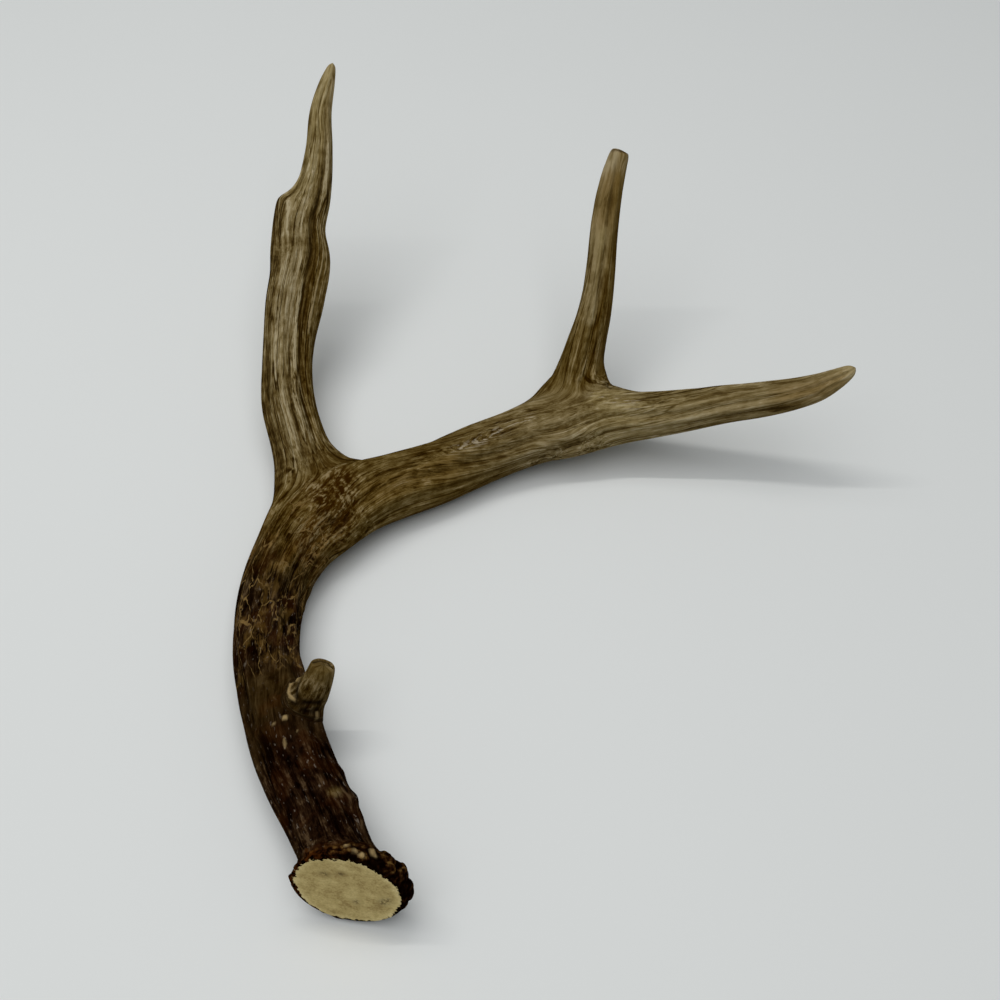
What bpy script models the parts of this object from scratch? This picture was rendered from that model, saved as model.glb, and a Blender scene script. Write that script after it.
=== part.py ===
"""A left antler of a white-tailed deer, lying on its outer side on a flat surface.

The antler is one branching piece of bone. It is built as four closed solids, split at its
main forks: the main beam with its burr, the broken brow tine, the long second tine and the
third tine. Each limb is a tapering tube about a smooth curve through a few stations. The
forks are blended by laying their vertices on a smooth union of the limbs, and then the
flutes, pearls and burr knobs are raised along the surface normals.

Lengths are in millimetres until the meshes are made. +Z is up, +X runs along the end of
the beam, and +Y runs from the burr towards the tips of the tines.
"""

import math

import bpy
import numpy as np

# ------------------------------------------------------------------ driving dimensions
MM = 0.001               # one millimetre in metres
GAP = 0.3                # clearance between a tine and the beam that it grew from
UP = (0.0, 0.0, 1.0)

# Stations on the middle of each limb: x, y, z, width level with the surface, thickness.
BEAM_STATIONS = [
    (-56.0, -182.3, 22.3, 28.0, 28.0),
    (-61.5, -166, 20.0, 27.0, 27.5),
    (-67, -153, 19.0, 28.5, 28.0),
    (-75.8, -136, 17.2, 29.0, 28.0),
    (-83.8, -118, 15.8, 29.5, 27.5),
    (-90.5, -99, 14.7, 28.8, 27.0),
    (-96.5, -79, 13.8, 27.5, 26.5),
    (-98, -62, 13.4, 27.5, 26.5),
    (-97, -45, 13.7, 28.0, 27.0),
    (-92.5, -28.5, 14.2, 30.5, 27.5),
    (-84.5, -13, 14.6, 33.0, 28.0),
    (-73, -0.5, 14.6, 33.5, 27.0),
    (-59.5, 7.5, 14.0, 32.0, 26.5),
    (-46, 14, 13.3, 30.5, 26.0),
    (-28, 22.5, 12.9, 29.0, 25.5),
    (-9, 33.0, 13.0, 28.8, 25.0),
    (9, 40.4, 14.7, 28.8, 24.5),
    (28, 45, 17.8, 27.0, 24.0),
    (47, 46.5, 21.7, 25.5, 22.0),
    (65, 45, 26.0, 22.5, 20.0),
    (83, 44, 30.5, 20.0, 18.0),
    (100, 43, 35.5, 17.5, 16.0),
    (118, 41, 41.0, 15.5, 14.5),
    (134, 39, 48.0, 13.5, 12.5),
    (142, 38, 53.0, 12.0, 11.0),
    (149.5, 37.3, 60.3, 8.2, 8.0),
    (156.2, 38.3, 65.5, 3.8, 4.0),
]
SECOND_TINE_STATIONS = [
    (-80, -6, 14.8, 24.0, 12.0),
    (-86, 14, 15.5, 29.0, 16.0),
    (-93.5, 37, 18.0, 24.5, 19.5),
    (-99, 56, 21.5, 24.0, 18.5),
    (-101, 73, 26.5, 23.0, 17.0),
    (-101, 88, 32.0, 24.5, 16.5),
    (-98.6, 105, 42.0, 28.2, 16.5),
    (-95.4, 120, 52.0, 27.2, 16.0),
    (-94.5, 133, 61.0, 20.5, 15.5),
    (-90.8, 145.5, 69.0, 17.5, 14.0),
    (-89.3, 152, 74.0, 16.0, 12.5),
    (-87.5, 165, 84.0, 13.0, 10.0),
    (-87, 182, 94.0, 10.5, 8.0),
    (-84, 195, 101.0, 7.5, 6.0),
    (-82, 202, 105.0, 4.4, 4.0),
]
THIRD_TINE_STATIONS = [
    (30.5, 50, 18.5, 23.0, 12.0),
    (34.7, 60.5, 22.2, 30.5, 14.5),
    (37.8, 68, 26.3, 24.3, 16.5),
    (38.3, 74.5, 31.0, 22.0, 16.5),
    (41.5, 83, 37.0, 18.0, 16.0),
    (45, 96, 45.5, 16.0, 14.5),
    (48, 112, 57.5, 14.0, 12.5),
    (50, 129, 71.0, 13.5, 11.5),
    (53, 142, 83.0, 12.0, 10.5),
    (55, 147, 90.5, 10.4, 9.2),
    (56.4, 149.2, 95.0, 8.4, 7.4),
]
BROW_TINE_STATIONS = [
    (-85, -108, 16.0, 15.0, 13.0),
    (-78.5, -106.5, 23.0, 17.0, 16.0),
    (-74, -103.3, 30.0, 14.0, 14.5),
    (-70.8, -100.2, 36.2, 11.5, 12.0),
    (-69.2, -98, 40.8, 9.5, 10.5),
]

# The second tine is flattened, and its left-hand edge is broken off in a shoulder: how far
# that edge stands out from the round of the tine, by distance along it.
SHOULDER = [(129, 0.0), (150, 3.7), (160, 6.5), (165, 7.4), (167.5, 6.0), (171, 2.5), (178, 0.0)]
SHOULDER_RINGS = [160.0, 164.5, 167.0, 169.5, 173.5]
CRISP_MARGIN = 2.5                  # the evenly spaced rings keep this far from those
FLAT = [(0, 0.0)]

# The burr: the rough ring at the foot of the beam, sawn off flat.
BURR_AXIS = (0.165, 0.975, -0.15)   # from the sawn face into the beam
BURR_TURN = 22.0                    # the rings swing from the sawn face to the beam over this
BURR_FLARE = [(0, 7.1), (1.8, 8.2), (5, 7.6), (8, 5.6), (10.5, 2.4), (14, 0.5), (18, 0)]
BURR_RINGS = [0.0, 2.0, 4.6, 7.4, 10.0, 13.5]
BURR_LEFT_CUT = 0.50                # share of the flare that is missing on the left-hand side
BURR_LEFT_REACH = 4.0               # the missing share sets in over this distance
BURR_LEDGE = 4.2                    # extra reach of the rim on its right-hand side
BURR_LEDGE_ANGLE = 185.0
BURR_LEDGE_PLACE = 5.2
BURR_LEDGE_LENGTH = 3.8
KNOB_SPACING = (2, 4)               # columns from one knob of the rim to the next
KNOB_HEIGHT = (0.8, 2.4)
KNOB_PLACE = (2.6, 6.2)
KNOB_LENGTH = 2.8
KNOB_WIDTH = 0.14                   # radians

# Forks on the beam. middle is the distance along the beam and angle the way round it (0 is
# the left of the way along the beam, 90 is up). half is half of the root's length, share the
# columns that turn out into the tine, reach how far the rings are pushed aside, rings and
# leave the rings and the distance up to the cut, blend the size of the fillet, and web how
# much of the fillet is left out on the top and the underside, so that it webs the crotch only.
SEGMENTS = 32
RING_STEP = 6.0
FIRST_RING = 18.0                   # the evenly spaced rings start here
TIP_RINGS = (6.0, 2.5)              # the last rings stand this far from the beam's tip
BROW_FORK = dict(middle=84.0, half=7.5, angle=135.0, share=6, reach=20.0, rings=3, leave=17.0,
                 blend=6.0, web=0.0)
SECOND_FORK = dict(middle=191.0, half=17.0, angle=0.0, share=16, reach=42.0, rings=6, leave=44.0,
                   blend=24.0, web=0.9)
THIRD_FORK = dict(middle=311.0, half=15.0, angle=11.25, share=10, reach=32.0, rings=4, leave=25.0,
                  blend=24.5, web=0.9)
FORK_ROUNDS = 24
FORK_EASE = 0.5                     # share of the way to the neighbours' middle in one round
SLOPE_STEP = 0.5
BURR_KEPT = 24.0                    # the burr and the beam's tip are left as they are laid out
BEAM_TIP_KEPT = 12.0
TINE_SETTLED = 14.0                 # a tine is laid on the union this far past its cut
TINE_TIP_KEPT = 5.0
FORK_MARGIN = 6.0
TIP_RISE = 1.6                      # a rounded tip's last point stands out this far
STUB_RISE = 0.3                     # and the broken tine's end, which is nearly flat

# Relief: long flutes, and the pearls that stand on the lower beam.
FLUTE_COUNTS = (4, 7, 10)
FLUTE_HEIGHTS = (0.35, 0.45, 0.45)
FLUTE_WANDER = 0.9
FLUTE_WAVELENGTH = 95.0
FLUTE_RADIUS = 10.0                 # limbs thinner than this have lower flutes
FLUTE_MOST = 1.2
RELIEF_START = 6.0                  # the relief sets in past the burr's rim
RELIEF_RUN_IN = 12.0
PEARL_COUNT = 60
PEARL_ZONE = (18.0, 165.0)
PEARL_TURNS = (50.0, 310.0)         # degrees round the beam: its outer side is smooth
PEARL_HEIGHT = (0.2, 0.7)
PEARL_RADIUS = (2.4, 3.8)
KNOBS_ON_BEAM = [                   # distance along, angle round, height, radius
    (24.0, 172.0, 1.5, 3.2),
    (35.0, 180.0, 1.4, 3.0),
    (46.0, 168.0, 1.5, 3.4),
    (30.0, 140.0, 1.2, 3.0),
    (57.0, 135.0, 1.0, 3.2),
    (71.0, 45.0, 1.8, 2.8),
    (82.0, 90.0, 1.7, 2.8),
]
SEED = 7
SHARP_ANGLE = 60.0                  # the edge of the sawn face is left sharp

# Colours and roughness, as the limbs average in daylight.
BEAM_LOOK = ((0.115, 0.068, 0.035), 0.55)
TINE_LOOKS = {
    "brow_tine": ((0.135, 0.095, 0.055), 0.65),
    "second_tine": ((0.235, 0.170, 0.095), 0.50),
    "third_tine": ((0.205, 0.150, 0.085), 0.50),
}


# ------------------------------------------------------------------ limbs
SAMPLE = 1.5


def smooth_rows(stations):
    """A cubic curve through the stations, read every SAMPLE millimetres."""
    rows = np.array(stations, float)
    chord = np.concatenate(([0.0], np.cumsum(np.linalg.norm(np.diff(rows[:, :3], axis=0), axis=1))))
    slope = np.gradient(rows, chord, axis=0)
    dense = np.append(np.arange(0.0, chord[-1], SAMPLE), chord[-1])
    span = np.clip(np.searchsorted(chord, dense, side="right") - 1, 0, len(chord) - 2)
    length = (chord[span + 1] - chord[span])[:, None]
    u = (dense[:, None] - chord[span][:, None]) / length
    start = (2 * u**3 - 3 * u**2 + 1) * rows[span] + (u**3 - 2 * u**2 + u) * slope[span] * length
    end = (3 * u**2 - 2 * u**3) * rows[span + 1] + (u**3 - u**2) * slope[span + 1] * length
    return start + end


def unit(vectors):
    return vectors / np.linalg.norm(vectors, axis=-1, keepdims=True)


class Limb:
    """A tapering tube of oval section about a smooth centreline."""

    def __init__(self, stations, upright=UP, first_axis=None, turn=1.0):
        rows = smooth_rows(stations)
        self.centre = rows[:, :3]
        self.half_width = rows[:, 3] / 2
        self.half_thickness = rows[:, 4] / 2
        steps = np.linalg.norm(np.diff(self.centre, axis=0), axis=1)
        self.arc = np.concatenate(([0.0], np.cumsum(steps)))
        self.length = self.arc[-1]
        along = unit(np.gradient(self.centre, self.arc, axis=0))
        if first_axis is not None:
            swing = np.clip(self.arc / turn, 0, 1)[:, None]
            along = unit((1 - swing) * np.array(first_axis) + swing * along)
        self.along = along
        self.side = unit(np.cross(np.array(upright, float), along))
        self.up = np.cross(along, self.side)

    def read(self, values, distance):
        """Values of the sampled centreline at any distances along it."""
        if values.ndim == 1:
            return np.interp(distance, self.arc, values)
        columns = [np.interp(distance, self.arc, column) for column in values.T]
        return np.stack(columns, axis=-1)

    def surface(self, distance, angle, extra=0.0):
        """Points on the tube at distances along it and angles (radians) round it."""
        wide = (self.read(self.half_width, distance) + extra) * np.cos(angle)
        thick = (self.read(self.half_thickness, distance) + extra) * np.sin(angle)
        centre = self.read(self.centre, distance)
        side = unit(self.read(self.side, distance))
        up = unit(self.read(self.up, distance))
        return centre + wide[..., None] * side + thick[..., None] * up

    def clearance(self, points):
        """Each point's distance from the tube's surface and its rise: 1 on top, -1 below."""
        offset = points[:, None, :] - self.centre[None, :, :]
        nearest = np.argmin(np.einsum("ijk,ijk->ij", offset, offset), axis=1)
        away = offset[np.arange(len(points)), nearest]
        reach = np.linalg.norm(away, axis=1)
        across = np.einsum("ij,ij->i", away, self.side[nearest])
        upward = np.einsum("ij,ij->i", away, self.up[nearest])
        angle = np.arctan2(upward, across)
        wide = self.half_width[nearest]
        thick = self.half_thickness[nearest]
        radius = wide * thick / np.hypot(thick * np.cos(angle), wide * np.sin(angle))
        return reach - radius, np.clip(upward / thick, -1, 1)


def union_clearance(limbs, forks, points):
    """Distance to the smooth union of the beam and its tines, with a fillet in each fork."""
    result, rise = limbs[0].clearance(points)
    for limb, fork in zip(limbs[1:], forks):
        other, _ = limb.clearance(points)
        blend = fork["blend"]
        overlap = np.maximum(blend - np.abs(result - other), 0.0) / blend
        fillet = overlap**2 * blend / 4 * (1 - fork["web"] * rise**2)
        result = np.minimum(result, other) - fillet
    return result


# ------------------------------------------------------------------ the skin's vertices and faces
class Skin:
    """The antler's surface: points with their place on a limb, and quads."""

    def __init__(self):
        self.points = []
        self.limb = []
        self.distance = []
        self.angle = []
        self.quads = []

    def add(self, points, limb, distance, angle):
        first = len(self.points)
        self.points.extend(points)
        self.limb.extend([limb] * len(points))
        self.distance.extend(distance)
        self.angle.extend(angle)
        return np.arange(first, first + len(points))

    def bridge(self, ring, following, node):
        for here in range(len(ring)):
            after = (here + 1) % len(ring)
            corners = (ring[here], ring[after], following[after], following[here])
            self.quads.append((node, corners))


def beam_angles():
    return np.arange(SEGMENTS) * 2 * math.pi / SEGMENTS


def knob_columns(random):
    """Columns of the rim's knobs, unevenly spaced."""
    columns = []
    column = 0
    while column < SEGMENTS - 1:
        columns.append(column)
        column += int(random.integers(*KNOB_SPACING))
    return columns


def turn_between(angle, other):
    """Signed turn from one angle to another, in radians."""
    return (angle - other + math.pi) % (2 * math.pi) - math.pi


def burr_extra(distance, angle, random):
    """How far the burr stands out from the neck of the beam."""
    flare = np.interp(distance, *zip(*BURR_FLARE))
    set_in = np.clip(distance / BURR_LEFT_REACH, 0, 1)
    flare = flare * (1 - BURR_LEFT_CUT * set_in * np.maximum(np.cos(angle), 0))
    ledge = np.maximum(np.cos(angle - math.radians(BURR_LEDGE_ANGLE)), 0)**2
    ledge = ledge * BURR_LEDGE * np.exp(-((distance - BURR_LEDGE_PLACE) / BURR_LEDGE_LENGTH)**2)
    knobs = np.zeros_like(flare)
    for column in knob_columns(random):
        height = random.uniform(*KNOB_HEIGHT)
        place = random.uniform(*KNOB_PLACE)
        turn = turn_between(angle, column * 2 * math.pi / SEGMENTS)
        round_it = np.exp(-(turn / KNOB_WIDTH)**2)
        knobs = knobs + height * round_it * np.exp(-((distance - place) / KNOB_LENGTH)**2)
    return flare + ledge + knobs


def fork_columns(fork):
    """The beam's columns that turn out into the fork's tine, from low to high angle."""
    middle = round(fork["angle"] / 360 * SEGMENTS)
    half = fork["share"] // 2
    return [(middle + step) % SEGMENTS for step in range(-half, half + 1)]


def fork_shift(forks, nominal, side):
    """Distances along the beam that a ring's columns give way to the roots of the tines."""
    shift = np.zeros(SEGMENTS)
    for fork in forks:
        closeness = 1 - abs(nominal - fork["middle"]) / fork["reach"]
        if closeness <= 0:
            continue
        columns = fork_columns(fork)
        spread = np.linspace(-1, 1, len(columns))
        sign = np.sign(nominal - fork["middle"]) or side
        shift[columns] += sign * fork["half"] * closeness * np.cos(spread * math.pi / 2)
    return shift


def ring_places(forks, length):
    """Nominal distances of the beam's rings, one on the middle of each fork."""
    tips = [length - step for step in TIP_RINGS]
    stops = [FIRST_RING] + [fork["middle"] for fork in forks] + [tips[0]]
    places = list(BURR_RINGS)
    for start, stop in zip(stops, stops[1:]):
        count = max(1, round((stop - start) / RING_STEP))
        places.extend(np.linspace(start, stop, count, endpoint=False))
    return places + tips


def grow_beam(skin, beam, forks):
    """Lay the beam's rings; a fork's columns part into a hole, whose loop starts its tine."""
    angles = beam_angles()
    loops = {}
    previous = None
    for nominal in ring_places(forks, beam.length):
        distance = nominal + fork_shift(forks, nominal, -1)
        random = np.random.default_rng(SEED)
        extra = burr_extra(distance, angles, random)
        ring = skin.add(beam.surface(distance, angles, extra), 0, distance, angles)
        if previous is not None:
            skin.bridge(previous, ring, "main_beam")
        else:
            first = ring
        previous = ring
        for number, fork in enumerate(forks):
            if nominal != fork["middle"]:
                continue
            columns = fork_columns(fork)
            inner = columns[1:-1]
            distance = nominal + fork_shift(forks, nominal, 1)
            lip = beam.surface(distance[inner], angles[inner])
            upper = skin.add(lip, 0, distance[inner], angles[inner])
            loops[number] = np.concatenate((ring[columns], upper[::-1]))
            previous = ring.copy()
            previous[inner] = upper
    return first, previous, loops


def tine_places(tine, fork, crisp):
    """Distances of a tine's rings past its cut, with some close together where it is crisp."""
    count = max(2, round((tine.length - fork["leave"]) / RING_STEP))
    places = np.linspace(fork["leave"], tine.length, count + 1)[1:]
    if crisp:
        clear = (places < crisp[0] - CRISP_MARGIN) | (places > crisp[-1] + CRISP_MARGIN)
        places = np.sort(np.concatenate((places[clear], crisp)))
    return places


def grow_tine(skin, tine, number, fork, loop, node):
    """Carry the hole's loop out to the tine's own section, and on to its tip."""
    shoulder, crisp = (SHOULDER, SHOULDER_RINGS) if node == "second_tine" else (FLAT, [])
    count = len(loop)
    angles = -math.pi / 2 + np.arange(count) * 2 * math.pi / count
    root = np.array([skin.points[index] for index in loop])
    leave = np.full(count, fork["leave"])
    target = tine.surface(leave, angles)
    previous = loop
    for step in range(1, fork["rings"] + 1):
        part = step / fork["rings"]
        ring = skin.add((1 - part) * root + part * target, number, leave * part, angles)
        skin.bridge(previous, ring, "main_beam")
        previous = ring
    cut = previous
    for place in tine_places(tine, fork, crisp):
        distance = np.full(count, place)
        reach = np.interp(place, *zip(*shoulder)) * np.maximum(np.cos(angles), 0)**2
        ring = skin.add(tine.surface(distance, angles, reach), number, distance, angles)
        skin.bridge(previous, ring, node)
        previous = ring
    return cut, previous


# ------------------------------------------------------------------ smoothing and relief
def corner_normals(points, quads):
    """Outward normals at the points, weighted by area."""
    corners = points[quads]
    faces = np.cross(corners[:, 2] - corners[:, 0], corners[:, 3] - corners[:, 1])
    normals = np.zeros_like(points)
    for column in range(4):
        np.add.at(normals, quads[:, column], faces)
    return unit(normals)


def settle_forks(points, quads, limbs, forks, relaxed, laid):
    """Even out the forks' vertices while they are laid on the limbs' smooth union."""
    edges = np.concatenate([quads[:, [a, (a + 1) % 4]] for a in range(4)])
    valence = np.bincount(edges[:, 0], minlength=len(points))
    for turn in range(FORK_ROUNDS):
        total = np.zeros_like(points)
        np.add.at(total, edges[:, 0], points[edges[:, 1]])
        pull = (total / np.maximum(valence, 1)[:, None] - points)[laid]
        gap = union_clearance(limbs, forks, points[laid])
        uphill = np.zeros_like(pull)
        for axis in range(3):
            probe = points[laid] + SLOPE_STEP * np.eye(3)[axis]
            uphill[:, axis] = union_clearance(limbs, forks, probe) - gap
        uphill = unit(uphill)
        pull -= np.einsum("ij,ij->i", pull, uphill)[:, None] * uphill
        points[laid] += FORK_EASE * relaxed[laid][:, None] * pull - gap[:, None] * uphill
    return points


def flutes(distance, angle, phases):
    """Long wandering ridges and gutters."""
    height = np.zeros_like(distance)
    for count, amount, phase in zip(FLUTE_COUNTS, FLUTE_HEIGHTS, phases):
        wander = FLUTE_WANDER * np.sin(distance * 2 * math.pi / FLUTE_WAVELENGTH + phase)
        height += amount * np.cos(count * angle + phase + wander)
    return height


def lumps(distance, angle, radius, places):
    """Rounded bumps, each given by distance along, angle round, height and radius."""
    height = np.zeros_like(distance)
    for along, round_it, tall, wide in places:
        turn = turn_between(angle, math.radians(round_it))
        away = np.hypot(distance - along, turn * radius)
        height += tall * np.exp(-(away / wide)**2)
    return height


def pearl_places(random):
    places = list(KNOBS_ON_BEAM)
    for pearl in range(PEARL_COUNT):
        place = random.uniform(*PEARL_ZONE)
        turn = random.uniform(*PEARL_TURNS)
        places.append((place, turn, random.uniform(*PEARL_HEIGHT), random.uniform(*PEARL_RADIUS)))
    return places


def relief(skin, limbs, random):
    """Height of the relief at each of the skin's points."""
    number = np.array(skin.limb)
    distance = np.array(skin.distance)
    angle = np.array(skin.angle)
    height = np.zeros(len(number))
    for index, limb in enumerate(limbs):
        here = number == index
        radius = limb.read(limb.half_thickness, distance[here])
        phases = random.uniform(0, 2 * math.pi, len(FLUTE_COUNTS))
        size = np.clip(radius / FLUTE_RADIUS, 0, FLUTE_MOST)
        grown = flutes(distance[here], angle[here], phases) * size
        if index == 0:
            grown = grown + lumps(distance[here], angle[here], radius, pearl_places(random))
            grown = grown * np.clip((distance[here] - RELIEF_START) / RELIEF_RUN_IN, 0, 1)
        height[here] = grown
    return height


# ------------------------------------------------------------------ solids
def material(name, colour, roughness):
    made = bpy.data.materials.new(name)
    made.use_nodes = True
    shader = made.node_tree.nodes["Principled BSDF"]
    shader.inputs["Base Color"].default_value = (*colour, 1.0)
    shader.inputs["Roughness"].default_value = roughness
    shader.inputs["Metallic"].default_value = 0.0
    return made


def make_solid(name, points, faces, finish):
    """A mesh object from the points that its faces use."""
    used = sorted({index for face in faces for index in face})
    renumbered = {index: place for place, index in enumerate(used)}
    mesh = bpy.data.meshes.new(name)
    corners = [tuple(points[index] * MM) for index in used]
    mesh.from_pydata(corners, [], [[renumbered[index] for index in face] for face in faces])
    mesh.shade_smooth()
    mesh.set_sharp_from_angle(angle=math.radians(SHARP_ANGLE))
    mesh.materials.append(finish)
    solid = bpy.data.objects.new(name, mesh)
    bpy.context.scene.collection.objects.link(solid)
    return solid


def fan(loop, hub):
    return [(loop[here], loop[(here + 1) % len(loop)], hub) for here in range(len(loop))]


def clear_scene():
    for item in list(bpy.data.objects):
        bpy.data.objects.remove(item, do_unlink=True)


def centred(points, used):
    """The points with the middle of their footprint at the origin and their lowest at 0."""
    low = points[used].min(axis=0)
    high = points[used].max(axis=0)
    return points - np.array([(low[0] + high[0]) / 2, (low[1] + high[1]) / 2, low[2]])


def shape_skin(skin, limbs, forks):
    """The skin's points, settled in the forks, with the relief raised, and centred."""
    points = np.array(skin.points)
    quads = np.array([corners for node, corners in skin.quads])
    number = np.array(skin.limb)
    distance = np.array(skin.distance)
    relaxed = np.zeros(len(points))
    laid = number == 0
    laid &= (distance > BURR_KEPT) & (distance < limbs[0].length - BEAM_TIP_KEPT)
    for index, fork in enumerate(forks):
        reach = fork["reach"] + FORK_MARGIN
        near = (number == 0) & (np.abs(distance - fork["middle"]) < reach)
        root = (number == index + 1) & (distance < fork["leave"] - 1)
        relaxed[near | root] = 1.0
        last = min(fork["leave"] + TINE_SETTLED, limbs[index + 1].length - TINE_TIP_KEPT)
        laid |= (number == index + 1) & (distance < last)
    points = settle_forks(points, quads, limbs, forks, relaxed, np.nonzero(laid)[0])
    height = relief(skin, limbs, np.random.default_rng(SEED))
    points = points + height[:, None] * corner_normals(points, quads)
    return centred(points, np.unique(quads))


def add_hub(points, loop, rise=0.0, axis=UP):
    """One more point, in the middle of a loop or standing out from it along an axis."""
    middle = np.mean([points[index] for index in loop], axis=0)
    points.append(middle + rise * np.array(axis))
    return len(points) - 1


def build():
    clear_scene()
    beam = Limb(BEAM_STATIONS, first_axis=unit(np.array(BURR_AXIS)), turn=BURR_TURN)
    brow = Limb(BROW_TINE_STATIONS, upright=(1.0, 0.0, 0.0))
    tines = [brow, Limb(SECOND_TINE_STATIONS), Limb(THIRD_TINE_STATIONS)]
    names = ["brow_tine", "second_tine", "third_tine"]
    forks = [BROW_FORK, SECOND_FORK, THIRD_FORK]

    skin = Skin()
    burr_loop, tip_loop, holes = grow_beam(skin, beam, forks)
    rings = []
    for number, (tine, fork, name) in enumerate(zip(tines, forks, names)):
        rings.append(grow_tine(skin, tine, number + 1, fork, holes[number], name))
    points = list(shape_skin(skin, [beam] + tines, forks))

    faces = {name: [] for name in ["main_beam"] + names}
    for node, corners in skin.quads:
        faces[node].append(tuple(corners))
    shell = faces["main_beam"]
    shell += fan(burr_loop[::-1], add_hub(points, burr_loop))
    shell += fan(tip_loop, add_hub(points, tip_loop, TIP_RISE, beam.along[-1]))
    for name, tine, (cut, end) in zip(names, tines, rings):
        shell += fan(cut, add_hub(points, cut))
        rise = STUB_RISE if name == "brow_tine" else TIP_RISE
        faces[name] += fan(end, add_hub(points, end, rise, tine.along[-1]))
    make_solid("main_beam", points, shell, material("beam_bone", *BEAM_LOOK))

    for name, tine, (cut, end), fork in zip(names, tines, rings, forks):
        shift = GAP * tine.read(tine.along, fork["leave"])
        moved = list(points)
        for index in cut:
            moved[index] = points[index] + shift
        closing = fan(cut[::-1], add_hub(moved, cut))
        make_solid(name, moved, faces[name] + closing, material(name + "_bone", *TINE_LOOKS[name]))


build()
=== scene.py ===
import math

import bpy
import numpy as np
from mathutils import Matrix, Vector


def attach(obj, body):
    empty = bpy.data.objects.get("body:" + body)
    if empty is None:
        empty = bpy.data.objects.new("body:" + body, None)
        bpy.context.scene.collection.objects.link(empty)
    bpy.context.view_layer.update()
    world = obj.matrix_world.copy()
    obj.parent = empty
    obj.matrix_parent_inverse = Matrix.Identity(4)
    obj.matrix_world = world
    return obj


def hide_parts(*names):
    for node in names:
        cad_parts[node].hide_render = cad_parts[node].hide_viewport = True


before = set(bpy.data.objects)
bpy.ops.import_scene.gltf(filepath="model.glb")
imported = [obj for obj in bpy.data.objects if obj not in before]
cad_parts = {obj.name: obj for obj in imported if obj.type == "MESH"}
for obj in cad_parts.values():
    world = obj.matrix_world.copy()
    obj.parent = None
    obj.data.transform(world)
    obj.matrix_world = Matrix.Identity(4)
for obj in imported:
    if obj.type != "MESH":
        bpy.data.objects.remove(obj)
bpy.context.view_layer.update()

# The antler is laid out in millimetres round the photograph's own origin, and SHIFT carries it
# to the row's frame. One skin covers the beam and its three tines: a coarse cage of rings,
# subdivided, with the relief raised along its normals.
MM = 0.001
SHIFT = (-21.380, -8.002, 1.192)
UP = (0.0, 0.0, 1.0)

# ------------------------------------------------------------------ the limbs' numbers
# As in the CAD, but with closer rings, tips that reach 0.6 mm further, and a third tine whose root
# and tip are moved by less than a millimetre.
# Stations on the middle of each limb: x, y, z, width level with the floor, thickness.
BEAM_STATIONS = [
    (-56.0, -182.3, 22.3, 28.0, 28.0),
    (-61.5, -166, 20.0, 27.0, 27.5),
    (-67, -153, 19.0, 28.5, 28.0),
    (-75.8, -136, 17.2, 29.0, 28.0),
    (-83.8, -118, 15.8, 29.5, 27.5),
    (-90.5, -99, 14.7, 28.8, 27.0),
    (-96.5, -79, 13.8, 27.5, 26.5),
    (-98, -62, 13.4, 27.5, 26.5),
    (-97, -45, 13.7, 28.0, 27.0),
    (-92.5, -28.5, 14.2, 30.5, 27.5),
    (-84.5, -13, 14.6, 33.0, 28.0),
    (-73, -0.5, 14.6, 33.5, 27.0),
    (-59.5, 7.5, 14.0, 32.0, 26.5),
    (-46, 14, 13.3, 30.5, 26.0),
    (-28, 22.5, 12.9, 29.0, 25.5),
    (-9, 33.0, 13.0, 28.8, 25.0),
    (9, 40.4, 14.7, 28.8, 24.5),
    (28, 45, 17.8, 27.0, 24.0),
    (47, 46.5, 21.7, 25.5, 22.0),
    (65, 45, 26.0, 22.5, 20.0),
    (83, 44, 30.5, 20.0, 18.0),
    (100, 43, 35.5, 17.5, 16.0),
    (118, 41, 41.0, 15.5, 14.5),
    (134, 39, 48.0, 13.5, 12.5),
    (142, 38, 53.0, 12.0, 11.0),
    (149.5, 37.3, 60.3, 8.2, 8.0),
    (156.2, 38.3, 65.5, 3.8, 4.0),
]
SECOND_TINE_STATIONS = [
    (-80, -6, 14.8, 24.0, 12.0),
    (-86, 14, 15.5, 29.0, 16.0),
    (-93.5, 37, 18.0, 24.5, 19.5),
    (-99, 56, 21.5, 24.0, 18.5),
    (-101, 73, 26.5, 23.0, 17.0),
    (-101, 88, 32.0, 24.5, 16.5),
    (-98.6, 105, 42.0, 28.2, 16.5),
    (-95.4, 120, 52.0, 27.2, 16.0),
    (-94.5, 133, 61.0, 20.5, 15.5),
    (-90.8, 145.5, 69.0, 17.5, 14.0),
    (-89.3, 152, 74.0, 16.0, 12.5),
    (-87.5, 165, 84.0, 13.0, 10.0),
    (-87, 182, 94.0, 10.5, 8.0),
    (-84, 195, 101.0, 7.5, 6.0),
    (-82, 202, 105.0, 4.4, 4.0),
]
THIRD_TINE_STATIONS = [
    (30.5, 50, 18.5, 23.0, 12.0),
    (34.7, 60.5, 22.2, 30.5, 14.5),
    (37.6, 68, 26.3, 24.7, 16.5),
    (38.7, 74.5, 31.0, 21.2, 16.5),
    (41.2, 83, 37.0, 18.4, 16.0),
    (45, 96, 45.5, 16.0, 14.5),
    (48, 112, 57.5, 14.0, 12.5),
    (50, 129, 71.0, 13.5, 11.5),
    (53, 142, 83.0, 12.0, 10.5),
    (55, 147, 90.5, 10.4, 9.2),
    (56.6, 149.2, 95.3, 9.0, 8.0),
]
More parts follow.
